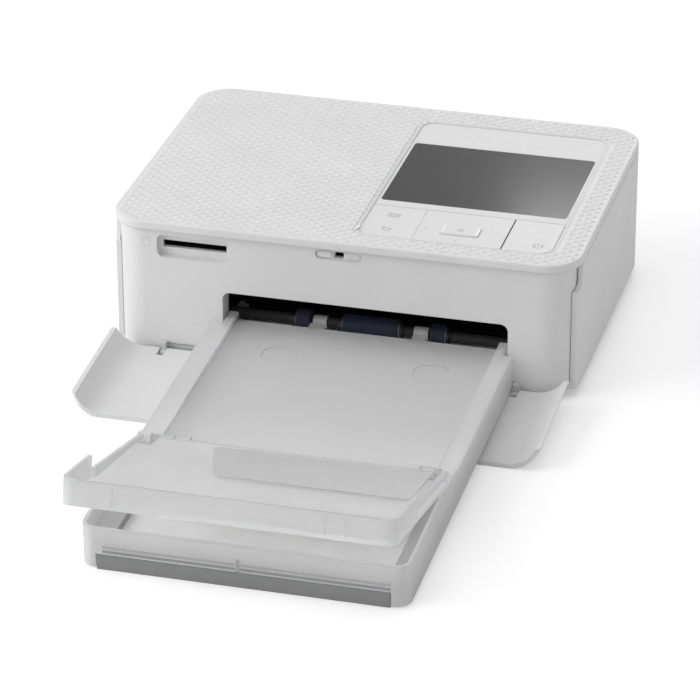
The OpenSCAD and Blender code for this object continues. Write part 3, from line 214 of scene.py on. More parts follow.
def metal(name, colour, rough, stretch=None):
    """Rolled metal, with its lines along the stretched axis."""
    mat, tree, shader = new_material(name)
    lines = noise(tree, 0.25, rough=0.6, stretch=stretch)
    set_colour(tree, shader, noise(tree, 6, detail=4), shade(colour, 0.88), colour)
    set_roughness(tree, shader, lines, rough - 0.08, rough + 0.08)
    set_bump(tree, shader, lines, depth_mm=0.006, strength=0.4, edge_mm=0.15)
    shader.inputs["Metallic"].default_value = 1.0
    return mat


def rubber(name, colour):
    """Rubber: dull, with a fine tooth and a dusty, slightly worn surface."""
    mat, tree, shader = new_material(name)
    dusty = tuple(c * 1.25 + 0.004 for c in colour)
    set_colour(tree, shader, noise(tree, 1.6, detail=4, rough=0.65), shade(colour, 0.8), dusty)
    set_roughness(tree, shader, noise(tree, 0.8), 0.64, 0.80)
    set_bump(tree, shader, noise(tree, 0.22, rough=0.7), depth_mm=0.02, strength=0.5, edge_mm=0.15)
    shader.inputs["Specular IOR Level"].default_value = 0.35
    return mat


def display_pane(name):
    """Dark pane over the display, with a faint film of dust."""
    mat, tree, shader = new_material(name)
    dark, light = (0.010, 0.0105, 0.0115), (0.013, 0.0135, 0.0145)
    set_colour(tree, shader, noise(tree, 22), dark, light)
    set_roughness(tree, shader, noise(tree, 1.2, detail=4, rough=0.7), 0.12, 0.15)
    set_bump(tree, shader, noise(tree, 0.6, detail=2), depth_mm=0.002, strength=0.2)
    shader.inputs["Specular IOR Level"].default_value = 0.24
    return mat


def circuit_board(name):
    """Green solder mask with tracks and pads under it."""
    mat, tree, shader = new_material(name)
    coords = tree.nodes.new("ShaderNodeTexCoord")
    tracks = tree.nodes.new("ShaderNodeTexBrick")
    tracks.inputs["Scale"].default_value = 260
    tracks.inputs["Mortar Size"].default_value = 0.03
    tracks.inputs["Color1"].default_value = (0.016, 0.105, 0.045, 1)
    tracks.inputs["Color2"].default_value = (0.012, 0.085, 0.038, 1)
    tracks.inputs["Mortar"].default_value = (0.045, 0.20, 0.085, 1)
    tree.links.new(coords.outputs["Object"], tracks.inputs["Vector"])
    tree.links.new(tracks.outputs["Color"], shader.inputs["Base Color"])
    set_roughness(tree, shader, noise(tree, 4), 0.3, 0.42)
    set_bump(tree, shader, tracks.outputs["Fac"], depth_mm=0.03, strength=0.5)
    return mat


def paper(name):
    """Photo paper, with the layers of the stack on its sides."""
    mat, tree, shader = new_material(name)
    layers = noise(tree, 0.5, detail=2, stretch=(0.02, 0.02, 1.6))
    dark, light = (0.83, 0.83, 0.82), (0.88, 0.88, 0.875)
    set_colour(tree, shader, noise(tree, 9, detail=4), dark, light)
    set_roughness(tree, shader, noise(tree, 0.5), 0.34, 0.46)
    set_bump(tree, shader, layers, depth_mm=0.02, strength=0.6)
    return mat


# Plastics: colour, roughness, grain size (mm), grain depth (mm), strength of the relief,
# unevenness of the shade, and softness of the edges (mm)
WHITE = (0.80, 0.80, 0.802)
PLASTICS = {
    "case_white": (WHITE, 0.46, 0.35, 0.01, 0.35, 0.02, 0.35),
    "cover_white": (WHITE, 0.44, 0.35, 0.01, 0.35, 0.02, 0.8),
    "door_white": (WHITE, 0.44, 0.35, 0.01, 0.35, 0.02, 0.35),
    "panel_white": ((0.755, 0.755, 0.757), 0.42, 0.25, 0.006, 0.3, 0.02, 0.35),
    "key_white": ((0.765, 0.765, 0.767), 0.40, 0.25, 0.005, 0.3, 0.012, 0.18),
    # Painted highlights, on the centre button's ends and on the roof mark
    "highlight_white": ((0.95, 0.95, 0.95), 0.3, 0.2, 0.003, 0.3, 0.01, 0.0),
    "chassis_grey": ((0.66, 0.665, 0.67), 0.52, 0.5, 0.02, 0.4, 0.02, 0.35),
    "foot_grey": ((0.28, 0.281, 0.285), 0.5, 0.3, 0.01, 0.35, 0.02, 0.35),
    "liner_white": ((0.50, 0.50, 0.505), 0.5, 0.3, 0.008, 0.3, 0.02, 0.35),
    "rib_grey": ((0.70, 0.70, 0.705), 0.5, 0.3, 0.006, 0.3, 0.03, 0.0),
    # Grey lines: painted shade along edges, and the grey stripes on the tray's front wall
    "line_grey": ((0.33, 0.33, 0.335), 0.5, 0.3, 0.006, 0.3, 0.03, 0.0),
    "line_pale": ((0.47, 0.47, 0.475), 0.5, 0.3, 0.006, 0.3, 0.03, 0.0),
    "faint_grey": ((0.62, 0.62, 0.625), 0.5, 0.2, 0.003, 0.3, 0.03, 0.0),
    "print_grey": ((0.36, 0.36, 0.365), 0.5, 0.2, 0.003, 0.3, 0.03, 0.0),
    "inner_black": ((0.012, 0.012, 0.013), 0.42, 0.4, 0.015, 0.4, 0.04, 0.35),
    "screen_black": ((0.01, 0.01, 0.011), 0.3, 0.3, 0.004, 0.2, 0.03, 0.35),
    "shaft_light": ((0.52, 0.52, 0.515), 0.34, 0.2, 0.004, 0.3, 0.02, 0.15),
    "gear_pale": ((0.70, 0.695, 0.67), 0.36, 0.3, 0.006, 0.3, 0.02, 0.12),
    "ribbon_navy": ((0.02, 0.022, 0.05), 0.28, 0.5, 0.004, 0.3, 0.04, 0.0),
    "spool_navy": ((0.03, 0.035, 0.08), 0.36, 0.35, 0.01, 0.35, 0.02, 0.35),
}
FINISH = {name: plastic(name, *values) for name, values in PLASTICS.items()}
FINISH |= {
    "frost": frosted("frost", (0.80, 0.80, 0.805), 0.62, 0.42),
    "tray_frost": frosted("tray_frost", (0.84, 0.84, 0.845), 0.4, 0.45),
    "lid_frost": frosted("lid_frost", (0.835, 0.835, 0.84), 0.6, 0.42),
    # Darker frosted plastic, for the painted shade on the front lid and for the rib on the tray's
    # front
    "thin_frost": frosted("thin_frost", (0.54, 0.54, 0.545), 0.25, 0.42),
    "steel": metal("steel", (0.58, 0.585, 0.59), 0.3, (1, 0.06, 1)),
    "aluminium": metal("aluminium", (0.72, 0.725, 0.73), 0.34),
    "brass": metal("brass", (0.72, 0.55, 0.25), 0.32),
    "navy_rubber": rubber("navy_rubber", (0.020, 0.024, 0.050)),
    "black_rubber": rubber("black_rubber", (0.02, 0.02, 0.021)),
    "foot_rubber": rubber("foot_rubber", (0.18, 0.18, 0.18)),
    "display": display_pane("display"),
    "board": circuit_board("board"),
    "paper": paper("paper"),
}
# The CAD parts in each finish
PARTS_IN_FINISH = {
    "cover_white": "top_cover",
    "case_white": "front_panel rear_panel left_panel ink_door",
    "door_white": "front_door",
    "panel_white": "control_bezel",
    "key_white": "menu_key select_key ok_button power_key",
    "chassis_grey": "bottom_chassis",
    "foot_grey": "cassette_foot",
    "foot_rubber": "rubber_feet",
    "display": "display_window",
    "screen_black": "display_module",
    # The card socket is drawn black as painted shade inside the card slot
    "inner_black": "card_socket dc_jack fan_frame fan_rotor paper_guide",
    "board": "key_board main_board",
    "tray_frost": "cassette_base",
    "lid_frost": "outer_lid",
    "frost": "inner_lid lid_pins",
    "paper": "paper_stack",
    "navy_rubber": "pickup_roller_centre pickup_rollers_side",
    "black_rubber": "pickup_shaft platen_roller pinch_roller",
    "shaft_light": "pickup_collars",
    "gear_pale": "pickup_gear platen_gear capstan_gear idler_gear_large idler_gear_rear"
                 " idler_gear_front ribbon_drive",
    "brass": "motor_pinion",
    "aluminium": "thermal_head",
    "spool_navy": "ink_cassette supply_spool takeup_spool",
    "ribbon_navy": "ink_ribbon",
    "steel": "case_screws ink_door_pins front_door_pins usb_socket left_frame right_frame"
             " capstan_roller head_arms head_shaft idler_studs feed_motor lift_plate lift_spring",
}


def finish_nodes():
    for finish, parts in PARTS_IN_FINISH.items():
        for part in parts.split():
            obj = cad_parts[part]
            if not obj.material_slots:
                obj.data.materials.append(FINISH[finish])
            for place in obj.material_slots:
                place.material = FINISH[finish]


# Helpers for shapes. A place function turns (u, v, height) into a point in the frame.
def on_top(z):
    """A level face at z: u to the right, v to the back."""
    return lambda u, v, h: at(u, v, z + h)


def on_front(y):
    """A wall at y that looks to the front: u to the right, v up."""
    return lambda u, v, h: at(u, y - h, v)


def across(u, v, h):
    """Sections side by side from left to right: u to the back, v up."""
    return at(h, u, v)


def new_piece(name, verts, faces, finish, body):
    mesh = bpy.data.meshes.new(name)
    mesh.from_pydata([tuple(v) for v in verts], [], faces)
    mesh.update()
    mesh.materials.append(FINISH[finish])
    obj = add_object(name, mesh)
    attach(obj, body)


def rectangle(x0, y0, x1, y1):
    return [(x0, y0), (x1, y0), (x1, y1), (x0, y1)]


def rounded_rect(x0, y0, x1, y1, r, steps=6):
    """Corner points of a rectangle with rounded corners."""
    points = []
    for cx, cy, start in (
        (x1 - r, y1 - r, 0), (x0 + r, y1 - r, 90), (x0 + r, y0 + r, 180), (x1 - r, y0 + r, 270),
    ):
        for i in range(steps + 1):
            a = math.radians(start + 90 * i / steps)
            points.append((cx + r * math.cos(a), cy + r * math.sin(a)))
    return points


def rounded_box(lo, hi, grow, r):
    """A rounded rectangle that is larger than a box by grow on each side."""
    return rounded_rect(lo.x - grow, lo.y - grow, hi.x + grow, hi.y + grow, r)


def arc(cx, cy, r, start, end, steps=20):
    """Points along an arc, in degrees."""
    turns = [math.radians(start + (end - start) * i / steps) for i in range(steps + 1)]
    return [(cx + r * math.cos(a), cy + r * math.sin(a)) for a in turns]


def disc(cx, cy, r, points=12):
    """A circle as one closed outline."""
    return arc(cx, cy, r, 0, 360 - 360 / points, points - 1)


def moved(lines, x, y):
    """Lines round the origin, moved to lie round (x, y)."""
    return [[(x + u, y + v) for u, v in line] for line in lines]


def layered(name, layers, place, finish, body, band=False):
    """A shape through outlines of equal length, given as (outline, height) pairs.

    Its first and last outline are filled, or else, in a band, joined to each other.
    """
    verts, faces = [], []
    count = len(layers[0][0])
    for outline, height in layers:
        verts += [place(u, v, height) for u, v in outline]
    for level in range(len(layers) if band else len(layers) - 1):
        low, high = level * count, (level + 1) % len(layers) * count
        for k in range(count):
            n = (k + 1) % count
            faces.append((low + k, low + n, high + n, high + k))
    if not band:
        faces.append(tuple(range((len(layers) - 1) * count, len(layers) * count)))
        faces.append(tuple(reversed(range(count))))
    new_piece(name, verts, faces, finish, body)


ROOT = -0.05  # how deep marks, stripes and ribs reach into what they lie on, in mm
SAME_POINT = 1e-6


def strokes(name, lines, place, finish, body, width, rise=0.03):
    """Printed marks: each line is a row of points, drawn with a flat stroke."""
    verts, faces = [], []
    for line in lines:
        closed = math.dist(line[0], line[-1]) < SAME_POINT
        base = len(verts)
        for i, (u, v) in enumerate(line):
            before = line[i - 1] if i else (line[-2] if closed else line[0])
            after = line[i + 1] if i + 1 < len(line) else (line[1] if closed else line[-1])
            du, dv = after[0] - before[0], after[1] - before[1]
            length = math.hypot(du, dv) or 1
            nu, nv = -dv / length * width / 2, du / length * width / 2
            for side in (1, -1):
                for height in (ROOT, rise):
                    verts.append(place(u + side * nu, v + side * nv, height))
        for i in range(len(line) - 1):
            a, b = base + 4 * i, base + 4 * (i + 1)
            faces += [(a + 1, a + 3, b + 3, b + 1), (a, b, b + 2, a + 2),
                      (a, a + 1, b + 1, b), (a + 2, b + 2, b + 3, a + 3)]
        if not closed:
            last = base + 4 * (len(line) - 1)
            faces += [(base, base + 2, base + 3, base + 1),
                      (last, last + 1, last + 3, last + 2)]
    new_piece(name, verts, faces, finish, body)


# Embossed roof: low pillows in a staggered lattice. Lengths are in mm.
GRAIN_X = 5.17
GRAIN_Y = 4.27
GRAIN_H = 0.42
GRAIN_GAP = 0.10  # half the groove between two pillows
GRAIN_ROOT = 0.02  # how deep the pillows stand in the roof
GRAIN_EDGE = 0.95  # bare border along the roof's edge
GRAIN_CORNERS = (13, 6.5)  # corner radius along the roof's edge and round the panel
PANEL_STEP = 0.9  # width of the step round the control panel
PANEL_CORNER = 5.5
# A pillow's outlines from its foot to its crown: share of the foot's size, and of the height.
# Its flanks are 0.85 wide on a half width of 1.65.
SHOULDER = 1 - 0.85 / 1.65
PILLOW = ((1.0, 0.0), (SHOULDER, 0.8), (SHOULDER * 0.45, 1.0))
# A pillow's corner that would leave the grained part is drawn in to the first of these shares
DRAWN_IN = (1, 0.85, 0.7, 0.55, 0.4, 0.25, 0.1)
LEAST_REACH = 0.05


def inside_rounded(x, y, x0, y0, x1, y1, r):
    """Whether a point lies in a rectangle with rounded corners."""
    if not (x0 <= x <= x1 and y0 <= y <= y1):
        return False
    cx = min(max(x, x0 + r), x1 - r)
    cy = min(max(y, y0 + r), y1 - r)
    return math.hypot(x - cx, y - cy) <= r


def add_grain():
    panel_lo, panel_hi = box_mm("control_bezel")
    keys_lo, _ = box_mm("menu_key")
    panel = (panel_lo.x - PANEL_STEP, keys_lo.y - PANEL_STEP,
             panel_hi.x + PANEL_STEP, panel_hi.y + PANEL_STEP, GRAIN_CORNERS[1])
    roof = (-BODY_W / 2 + GRAIN_EDGE, GRAIN_EDGE,
            BODY_W / 2 - GRAIN_EDGE, BODY_D - GRAIN_EDGE, GRAIN_CORNERS[0])

    def grained(x, y):
        return inside_rounded(x, y, *roof) and not inside_rounded(x, y, *panel)

    verts, faces = [], []
    half_x, half_y = GRAIN_X / 2 - GRAIN_GAP, GRAIN_Y / 2 - GRAIN_GAP
    columns, rows = int(BODY_W / GRAIN_X) + 2, int(BODY_D / GRAIN_Y) + 2
    for i in range(-columns, columns + 1):
        for j in range(-1, 2 * rows):
            cx, cy = i * GRAIN_X / 2, j * GRAIN_Y / 2
            if (i + j) % 2 or not grained(cx, cy):
                continue
            corners = []
            for dx, dy in ((half_x, 0), (0, half_y), (-half_x, 0), (0, -half_y)):
                reach = next((k for k in DRAWN_IN if grained(cx + dx * k, cy + dy * k)),
                             LEAST_REACH)
                corners.append((dx * reach, dy * reach))
            base = len(verts)
            for share, rise in PILLOW:
                verts += [at(cx + dx * share, cy + dy * share, BODY_H - GRAIN_ROOT + GRAIN_H * rise)
                          for dx, dy in corners]
            for level in (base, base + 4):
                for k in range(4):
                    n = (k + 1) % 4
                    faces.append((level + k, level + n, level + 4 + n, level + 4 + k))
            faces.append((base + 8, base + 9, base + 10, base + 11))
    new_piece("roof_grain", verts, faces, "cover_white", "case")


# Marks printed on the keys: the strokes in mm round the mark's middle, where that lies from the
# panel's front left corner, the key, and the strokes' width
KEY_MARKS = {
    "menu_mark": ([[(-2.6, row), (2.6, row)] for row in (1.3, 0, -1.3)],
                  (10.3, 19.8), "menu_key", 0.42),
    "back_mark": ([[(-1.6, 1.0), (0.9, 1.0)] + arc(0.9, 0, 1.0, 90, -90, 8) + [(-0.9, -1.0)],
                   [(-0.7, 1.9), (-1.7, 1.0), (-0.7, 0.1)]],
                  (10.0, 7.2), "menu_key", 0.36),
    "power_mark": ([arc(0, 0, 1.75, 125, 415, 24), [(0, 0.5), (0, 2.2)]],
                   (69.0, 6.7), "power_key", 0.36),
}
# Dots behind, right of, left of and before the centre button, from its middle
DIRECTION_DOTS = ((0, 9.6), (13.6, 0), (-13.6, 0), (0, -9.0))
# The centre button's cap, from its foot to its top: growth beyond the button, corner radius and
# height over the roof. Painted highlights at its ends: inset at the sides and at front and back,
# and height.
OK_CORNER = 0.8
OK_TOP = 0.16
OK_CAP = ((-0.05, OK_CORNER, -0.1), (-0.75, 0.5, OK_TOP))
OK_HIGHLIGHTS = (0.5, 0.7, 0.13)


def add_key_marks():
    panel_x = box_mm("control_bezel")[0].x
    keys_lo, keys_hi = box_mm("menu_key")
    top = on_top(keys_hi.z)
    for name, (lines, (x, y), key, width) in KEY_MARKS.items():
        strokes(name, moved(lines, panel_x + x, keys_lo.y + y), top, "print_grey", key,
                width)
    # Centre button: a cap with sloping sides, a painted highlight at both ends, and a ring printed
    # on it
    lo, hi = box_mm("ok_button")
    ok_x, ok_y, _ = middle("ok_button")
    layered("ok_cap", [(rounded_box(lo, hi, grow, r), z) for grow, r, z in OK_CAP],
            on_top(BODY_H), "key_white", "ok_button")
    inset_x, inset_y, highlight_top = OK_HIGHLIGHTS
    # Painted highlights along the cap's left and right end
    for name, x in (("ok_highlight_left", lo.x + inset_x), ("ok_highlight_right", hi.x - inset_x)):
        strokes(name, [[(x, lo.y + inset_y), (x, hi.y - inset_y)]], on_top(BODY_H + highlight_top),
                "highlight_white", "ok_button", width=0.85, rise=0.05)
    strokes("ok_mark", [arc(ok_x, ok_y, 0.95, 0, 360)], on_top(BODY_H + OK_TOP), "print_grey",
            "ok_button", width=0.34)
    for i, (dx, dy) in enumerate(DIRECTION_DOTS):
        x, y = ok_x + dx, ok_y + dy
        layered(f"direction_dot_{i}", [(disc(x, y, 0.32), ROOT), (disc(x, y, 0.30), 0.03)], top,
                "print_grey", "select_key")


# Front wall: an embossed card beside the card slot, from its lower left corner, and the sliders
# at the sides of the door catch's hole, as left and right end and rise. All in mm.
CARD_MARK = [
    [(0, 0), (3.2, 0), (3.2, 3.9), (1.1, 3.9), (0, 2.8), (0, 0)],
    [(1.3, 2.6), (1.3, 3.4)],
    [(2.3, 2.6), (2.3, 3.4)],
]
CARD_MARK_X = 13.6  # from the body's left side
CARD_MARK_DROP = 7.8  # from the wall's top down
CATCH_SLIDERS = {"catch_left": (-8.7, -2.6, 0.75), "catch_right": (1.85, 8.2, 0.45)}
CATCH_DROP = 3.2
CATCH_HALF = 1.35
CATCH_CORNERS = (1.2, 0.75)  # of a slider's foot and of its crown
CATCH_CHAMFER = 0.45
CATCH_RECESS = 1.0


def add_front_marks():
    wall_y = box_mm("front_panel")[0].y
    wall_top = box_mm("front_panel")[1].z
    strokes("card_mark", moved(CARD_MARK, -BODY_W / 2 + CARD_MARK_X, wall_top - CARD_MARK_DROP),
            on_front(wall_y), "faint_grey", "case", width=0.26, rise=0.02)
    z = wall_top - CATCH_DROP
    for name, (x0, x1, rise) in CATCH_SLIDERS.items():
        foot, crown = (
            rounded_rect(x0 + cut, z - CATCH_HALF + cut, x1 - cut, z + CATCH_HALF - cut, r)
            for cut, r in zip((0, CATCH_CHAMFER), CATCH_CORNERS)
        )
        layered(name, [(foot, 0), (foot, rise * 0.55), (crown, rise)],
                on_front(wall_y + CATCH_RECESS), "case_white", "case")


# Control panel, in mm
JOINT_INSET = 0.6  # from the keys' front edge to the joints' ends
JOINT_CLEARANCE = 0.02
JOINT_DEPTH = 0.8
OK_JOINT = ((0.24, 0.05), (0.01, 0.05), (0.01, 0.5), (0.24, 0.5))  # growth, and depth
# Shaded lines along the power key: inset from its right or left side, and ends from the keys'
# front and rear edge. The right one turns round the front corner by so many degrees.
POWER_EDGE = (0.72, 5.6, 1.0)
POWER_EDGE_TURN = -70
POWER_EDGE_LIFT = 0.07
POWER_KEY_EDGE = (0.16, 0.7, 0.1)
ROOF_MARK_PLACE = (94.8, 14.6)  # middle of the slanted mark, from the body's front left corner
ROOF_MARK = (-0.5, 0.5)  # its front and rear end, sideways from its middle
# The painted shade beside the mark: its front and rear end, sideways from the mark's middle
ROOF_MARK_SHADE = (-1.4, -0.4)
ROOF_MARK_HALF = 2.2


def add_panel_edges():
    lo, hi = box_mm("control_bezel")
    menu_lo, menu_hi = box_mm("menu_key")
    select_lo, select_hi = box_mm("select_key")
    power_x = box_mm("power_key")[0].x
    front, back, key_top = menu_lo.y, menu_hi.y, select_hi.z
    # Soft step from the roof down to the panel, over the joint all round: how far each line lies
    # outside the panel, and its height over the roof
    panel_z = hi.z - BODY_H
    step = [
        (rounded_rect(lo.x - out, front - out, hi.x + out, hi.y + out, PANEL_CORNER + out, 10), z)
        for out, z in ((PANEL_STEP, 0.03), (0.5, 0.01), (0.1, -0.06), (-0.6, panel_z + 0.05),
                       (-0.6, panel_z + 0.02), (PANEL_STEP, -0.1))
    ]
    layered("panel_step", step, on_top(BODY_H), "panel_white", "case", band=True)
    # Joints between the keys: crisp beside the power key, shallow between the others
    for name, x0, x1, below, finish in (
        ("power_joint", select_hi.x, power_x, 0.12, "inner_black"),
        ("menu_joint", menu_hi.x, select_lo.x, 0.05, "faint_grey"),
    ):
        outline = rectangle(x0 + JOINT_CLEARANCE, front + JOINT_INSET, x1 - JOINT_CLEARANCE, back)
        layered(name, [(outline, -below - JOINT_DEPTH), (outline, -below)], on_top(key_top),
                finish, "case")
    inset, near, far = POWER_EDGE
    corner = arc(hi.x - PANEL_CORNER, front + PANEL_CORNER, PANEL_CORNER - inset,
                 0, POWER_EDGE_TURN, 12)
    strokes("power_edge", [[(hi.x - inset, back - far), (hi.x - inset, front + near)] + corner],
            on_top(hi.z + POWER_EDGE_LIFT), "line_grey", "case",
            width=0.26, rise=0.02)
    inset, near, far = POWER_KEY_EDGE
    strokes("power_key_edge", [[(power_x + inset, front + near), (power_x + inset, back - far)]],
            on_top(key_top), "inner_black", "power_key", width=0.3, rise=0.02)
    ok_lo, ok_hi = box_mm("ok_button")
    joint = [(rounded_box(ok_lo, ok_hi, out, OK_CORNER + out), -depth)
             for out, depth in OK_JOINT]
    layered("ok_joint", joint, on_top(key_top), "faint_grey", "select_key",
            band=True)
    # Small slanted mark on the roof beside the panel, drawn as a painted highlight with a painted
    # shade along its side
    x, y = -BODY_W / 2 + ROOF_MARK_PLACE[0], ROOF_MARK_PLACE[1]
    for name, (front_x, back_x), finish, width in (
        ("roof_mark", ROOF_MARK, "highlight_white", 1.1),
        ("roof_mark_shade", ROOF_MARK_SHADE, "line_pale", 0.28),
    ):
        strokes(name, [[(x + front_x, y - ROOF_MARK_HALF), (x + back_x, y + ROOF_MARK_HALF)]],
                on_top(BODY_H + GRAIN_H), finish, "case", width)


# Paper cassette, in mm. Its own frame is tilted about the line across the body's front edge at
# CASSETTE_Z.
CASSETTE_TILT = math.radians(1.8)
CASSETTE_Z = 5.9
TRAY_H = 15.7
TRAY_WALL = 1.6
TRAY_FLOOR = 1.5  # top of the liner on the floor, and on the strips beside the sheets
TRAY_STRIP = 7.9
LINER = 0.3
LINER_PLAY = 0.1  # beside the sheets
LINER_INSET = 3.6  # from the ends of the foot, before the sheets
LINER_SPAN = (1.9, 6.6)  # front end of the liner, and of its part under the sheets
LINER_BACK = -4.0
# Darker grey stripes along the front wall: lower and upper edge over the foot. A rib parts them.
FOOT_TOP = 5.1
RIB_X = 7.3
RIB_HALF = 0.6
RIB_SPAN = (0.4, 5.4)  # over the foot
RIB_RISE = 0.22
STRIPE_RISE = 0.05
STRIPE_GAP = 1.0  # beside the middle of the rib
STRIPE_INSETS = (6.4, 4.6)  # from the left and right end of the foot
FRONT_STRIPES = (("tray_stripe_low", 0.95, 2.05, "line_grey"),
               ("tray_stripe_high", 2.7, 3.7, "line_pale"))
# The front lid, from its hinge: tilt, height of its face and of its end wall, and length
LID_TILT = math.radians(12.3)
LID_TOP = 1.3
LIP_TOP = 9.2
LID_END = 89.5
LID_SHADE = [
    (-17.4, 5.0), (58.6, 5.0), (60.1, 5.6), (60.8, 7.2), (60.8, 37.0), (60.1, 38.8), (58.4, 39.4),
    (-7.4, 39.4), (-9.4, 38.8), (-10.6, 36.8), (-19.2, 8.0), (-19.0, 6.0),
]
LID_RIBS = (-31.2, 43.6, 51.0)
LID_RIB_HALF = 0.45
LID_RIB_SPAN = (1.2, 7.8)  # over the hinge
LID_RIB_RISE = 0.04
LIP_HALF = 0.3  # half the end wall's thickness
LIP_INSET = 5.5  # from the tray's sides to the ends of the shaded edge
HINGE_SILL = (-3.6, -3.1, 3.4, -2.8)  # section, from the hinge line
_, HINGE_Y, HINGE_Z = middle("lid_pins")


def in_cassette(x, y, z):
    """A point in the paper cassette's own frame."""
    c, s = math.cos(CASSETTE_TILT), math.sin(CASSETTE_TILT)
    return at(x, y * c - z * s, CASSETTE_Z + y * s + z * c)


def in_lid(x, u, w):
    """A point on the front lid: u forwards from its hinge, w up from it."""
    c, s = math.cos(LID_TILT), math.sin(LID_TILT)
    return at(x, HINGE_Y - u * c + w * s, HINGE_Z + u * s + w * c)


def add_tray_details():
    tray_lo, tray_hi = box_mm("cassette_base")
    foot_lo, foot_hi = box_mm("cassette_foot")
    sheet_lo, sheet_hi = box_mm("paper_stack")
    front = (tray_lo.y + TRAY_H * math.sin(CASSETTE_TILT)) / math.cos(CASSETTE_TILT)
    left, right = tray_lo.x + TRAY_WALL, tray_hi.x - TRAY_WALL

    def along(u, v, h):
        return in_cassette(u, h, v)

    def on_wall(u, v, h):
        return in_cassette(u, front - h, v)

    # Pale liner over the tray's floor and over the strips beside the sheets
    x0, x1 = sheet_lo.x - LINER_PLAY, sheet_hi.x + LINER_PLAY
    floor, strip = TRAY_FLOOR - LINER, TRAY_STRIP - LINER
    section = [
        (left, strip), (left, TRAY_STRIP), (x0, TRAY_STRIP), (x0, TRAY_FLOOR),
        (x1, TRAY_FLOOR), (x1, TRAY_STRIP), (right, TRAY_STRIP), (right, strip),
        (x1 + LINER, strip), (x1 + LINER, floor), (x0 - LINER, floor), (x0 - LINER, strip),
    ]
    start, sheets = (front + y for y in LINER_SPAN)
    layered("tray_liner", [(section, sheets), (section, LINER_BACK)], along, "liner_white",
            "paper_cassette")
    sill = rectangle(foot_lo.x + LINER_INSET, floor, foot_hi.x - LINER_INSET, TRAY_FLOOR)
    layered("tray_liner_front", [(sill, start), (sill, sheets)], along, "liner_white",
            "paper_cassette")
    for name, low, high, finish in FRONT_STRIPES:
        for side, x0, x1 in (("left", foot_lo.x + STRIPE_INSETS[0], RIB_X - STRIPE_GAP),
                             ("right", RIB_X + STRIPE_GAP, foot_hi.x - STRIPE_INSETS[1])):
            stripe = rectangle(x0, FOOT_TOP + low, x1, FOOT_TOP + high)
            layered(f"{name}_{side}", [(stripe, ROOT), (stripe, STRIPE_RISE)], on_wall, finish,
                    "paper_cassette")
    low, high = (FOOT_TOP + z for z in RIB_SPAN)
    rib = rounded_rect(RIB_X - RIB_HALF, low, RIB_X + RIB_HALF, high, 0.5)
    layered("tray_rib", [(rib, ROOT), (rib, RIB_RISE)], on_wall, "thin_frost", "paper_cassette")


def add_lid_details():
    tray_lo, tray_hi = box_mm("cassette_base")
    # Painted shade: a darker sheet on the front lid's face, where the lid is thin and the dark
    # inside shows through
    layered("lid_shade", [(LID_SHADE, LID_TOP - 0.02), (LID_SHADE, LID_TOP + 0.03)], in_lid,
            "thin_frost", "outer_lid")
    # Pale sill under the lids' knuckles
    sill, = moved([rectangle(*HINGE_SILL)], HINGE_Y, HINGE_Z)
    layered("hinge_sill", [(sill, tray_lo.x + TRAY_WALL), (sill, tray_hi.x - TRAY_WALL)], across,
            "rib_grey", "paper_cassette")
    # Painted shade along the upper edge of the lid's end wall, and the ribs on that wall
    edge = LID_END - LIP_HALF
    strokes("lid_edge_shade", [[(tray_lo.x + LIP_INSET, edge), (tray_hi.x - LIP_INSET, edge)]],
            lambda x, y, h: in_lid(x, y, LIP_TOP + h), "line_pale", "outer_lid",
            width=0.4)
    low, high = LID_RIB_SPAN
    for i, x in enumerate(LID_RIBS):
        rib = rectangle(x - LID_RIB_HALF, low, x + LID_RIB_HALF, high)
        layered(f"lid_rib_{i}", [(rib, ROOT), (rib, LID_RIB_RISE)],
                lambda x, z, h: in_lid(x, LID_END + h, z), "rib_grey", "outer_lid")


# Sleeves on the pickup shaft's end rings: radius, and span from the roller's end, in mm
SLEEVE_R = 2.95
SLEEVE_POINTS = 32
SLEEVE_SPAN = (0.5, 1.65)


def add_sleeves():
    _, y, z = middle("pickup_shaft")
    circle = disc(y, z, SLEEVE_R, SLEEVE_POINTS)
    near, far = SLEEVE_SPAN
    side_lo, side_hi = box_mm("pickup_rollers_side")
    mid_lo, mid_hi = box_mm("pickup_roller_centre")
    spans = [(x - far, x - near) for x in (side_lo.x, mid_lo.x)]
    spans += [(x + near, x + far) for x in (mid_hi.x, side_hi.x)]
    for i, (x0, x1) in enumerate(spans):
        layered(f"ring_sleeve_{i}", [(circle, x0), (circle, x1)], across, "inner_black",
                "pickup_rollers")


# Floor and light, in metres
FLOOR_HALF = 4.0
FLOOR_GLOW = 0.30
WORLD_LEVEL = 0.48
# Soft boxes, all turned to AIM: place, width, height and power
AIM = Vector((0, 0, 0))
LAMPS = {
    "left_box": ((-1.0, -0.45, 0.62), 0.95, 0.95, 8.1),
    "top_box": ((0.0, 0.1, 2.0), 1.4, 1.4, 4.6),
    "back_box": ((-0.02, 1.5, 0.905), 0.49, 0.30, 3.3),
}


def add_lamps():
    for name, (place, width, height, power) in LAMPS.items():
        data = bpy.data.lights.new(name, "AREA")
        data.shape = "RECTANGLE"
        data.size, data.size_y = width, height
        data.energy = power
        lamp = add_object(name, data)
        lamp.location = place
        lamp.rotation_mode = "QUATERNION"
        lamp.rotation_quaternion = (AIM - Vector(place)).to_track_quat("-Z", "Y")


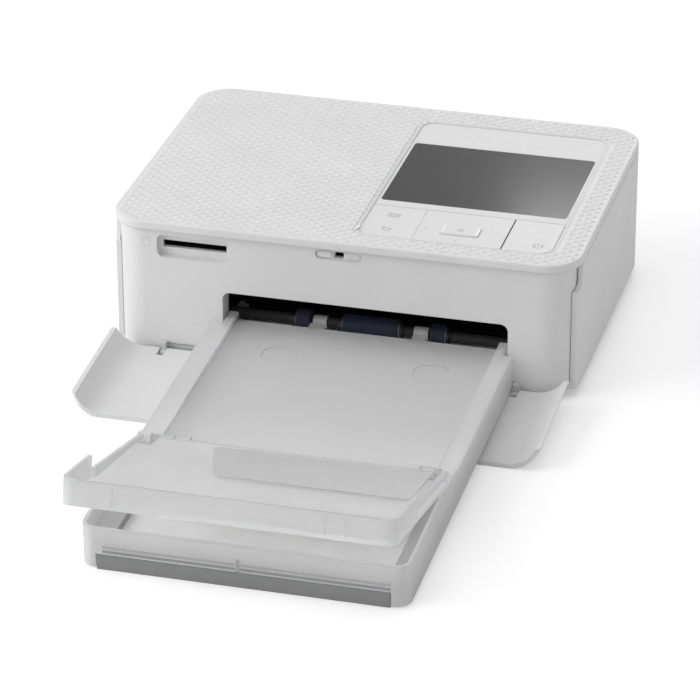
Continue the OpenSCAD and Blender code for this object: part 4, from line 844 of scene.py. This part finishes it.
def add_floor():
    mesh = bpy.data.meshes.new("floor")
    corners = rectangle(-FLOOR_HALF, -FLOOR_HALF, FLOOR_HALF, FLOOR_HALF)
    mesh.from_pydata([(x, y, 0) for x, y in corners], [], [(0, 1, 2, 3)])
    mat, tree, shader = new_material("floor_white")
    shader.inputs["Base Color"].default_value = (0.93, 0.93, 0.93, 1)
    shader.inputs["Roughness"].default_value = 0.9
    shader.inputs["Specular IOR Level"].default_value = 0.1
    shader.inputs["Emission Color"].default_value = (1, 1, 1, 1)
    # The camera sees the floor glow towards white like the backdrop, with the object's shadow
    path = tree.nodes.new("ShaderNodeLightPath")
    glow = tree.nodes.new("ShaderNodeMath")
    glow.operation = "MULTIPLY"
    glow.inputs[1].default_value = FLOOR_GLOW
    tree.links.new(path.outputs["Is Camera Ray"], glow.inputs[0])
    tree.links.new(glow.outputs["Value"], shader.inputs["Emission Strength"])
    mesh.materials.append(mat)
    add_object("floor", mesh)


def add_world():
    world = bpy.data.worlds.new("studio")
    bpy.context.scene.world = world
    world.use_nodes = True
    tree = world.node_tree
    tree.nodes.clear()
    out = tree.nodes.new("ShaderNodeOutputWorld")
    mix = tree.nodes.new("ShaderNodeMixShader")
    # The object is lit by a soft grey; the camera, gloss and clear pieces see a white backdrop
    for i, strength in enumerate((WORLD_LEVEL, 1.0), start=1):
        sky = tree.nodes.new("ShaderNodeBackground")
        sky.inputs["Color"].default_value = (1, 1, 1, 1)
        sky.inputs["Strength"].default_value = strength
        tree.links.new(sky.outputs["Background"], mix.inputs[i])
    path = tree.nodes.new("ShaderNodeLightPath")
    share = path.outputs["Is Camera Ray"]
    for ray in ("Is Glossy Ray", "Is Transmission Ray"):
        either = tree.nodes.new("ShaderNodeMath")
        either.operation = "MAXIMUM"
        tree.links.new(share, either.inputs[0])
        tree.links.new(path.outputs[ray], either.inputs[1])
        share = either.outputs["Value"]
    tree.links.new(share, mix.inputs["Fac"])
    tree.links.new(mix.outputs["Shader"], out.inputs["Surface"])


add_camera()
finish_nodes()
add_grain()
add_key_marks()
add_front_marks()
add_panel_edges()
add_tray_details()
add_lid_details()
add_sleeves()
add_floor()
add_world()
add_lamps()
bpy.context.scene.view_settings.view_transform = "Standard"
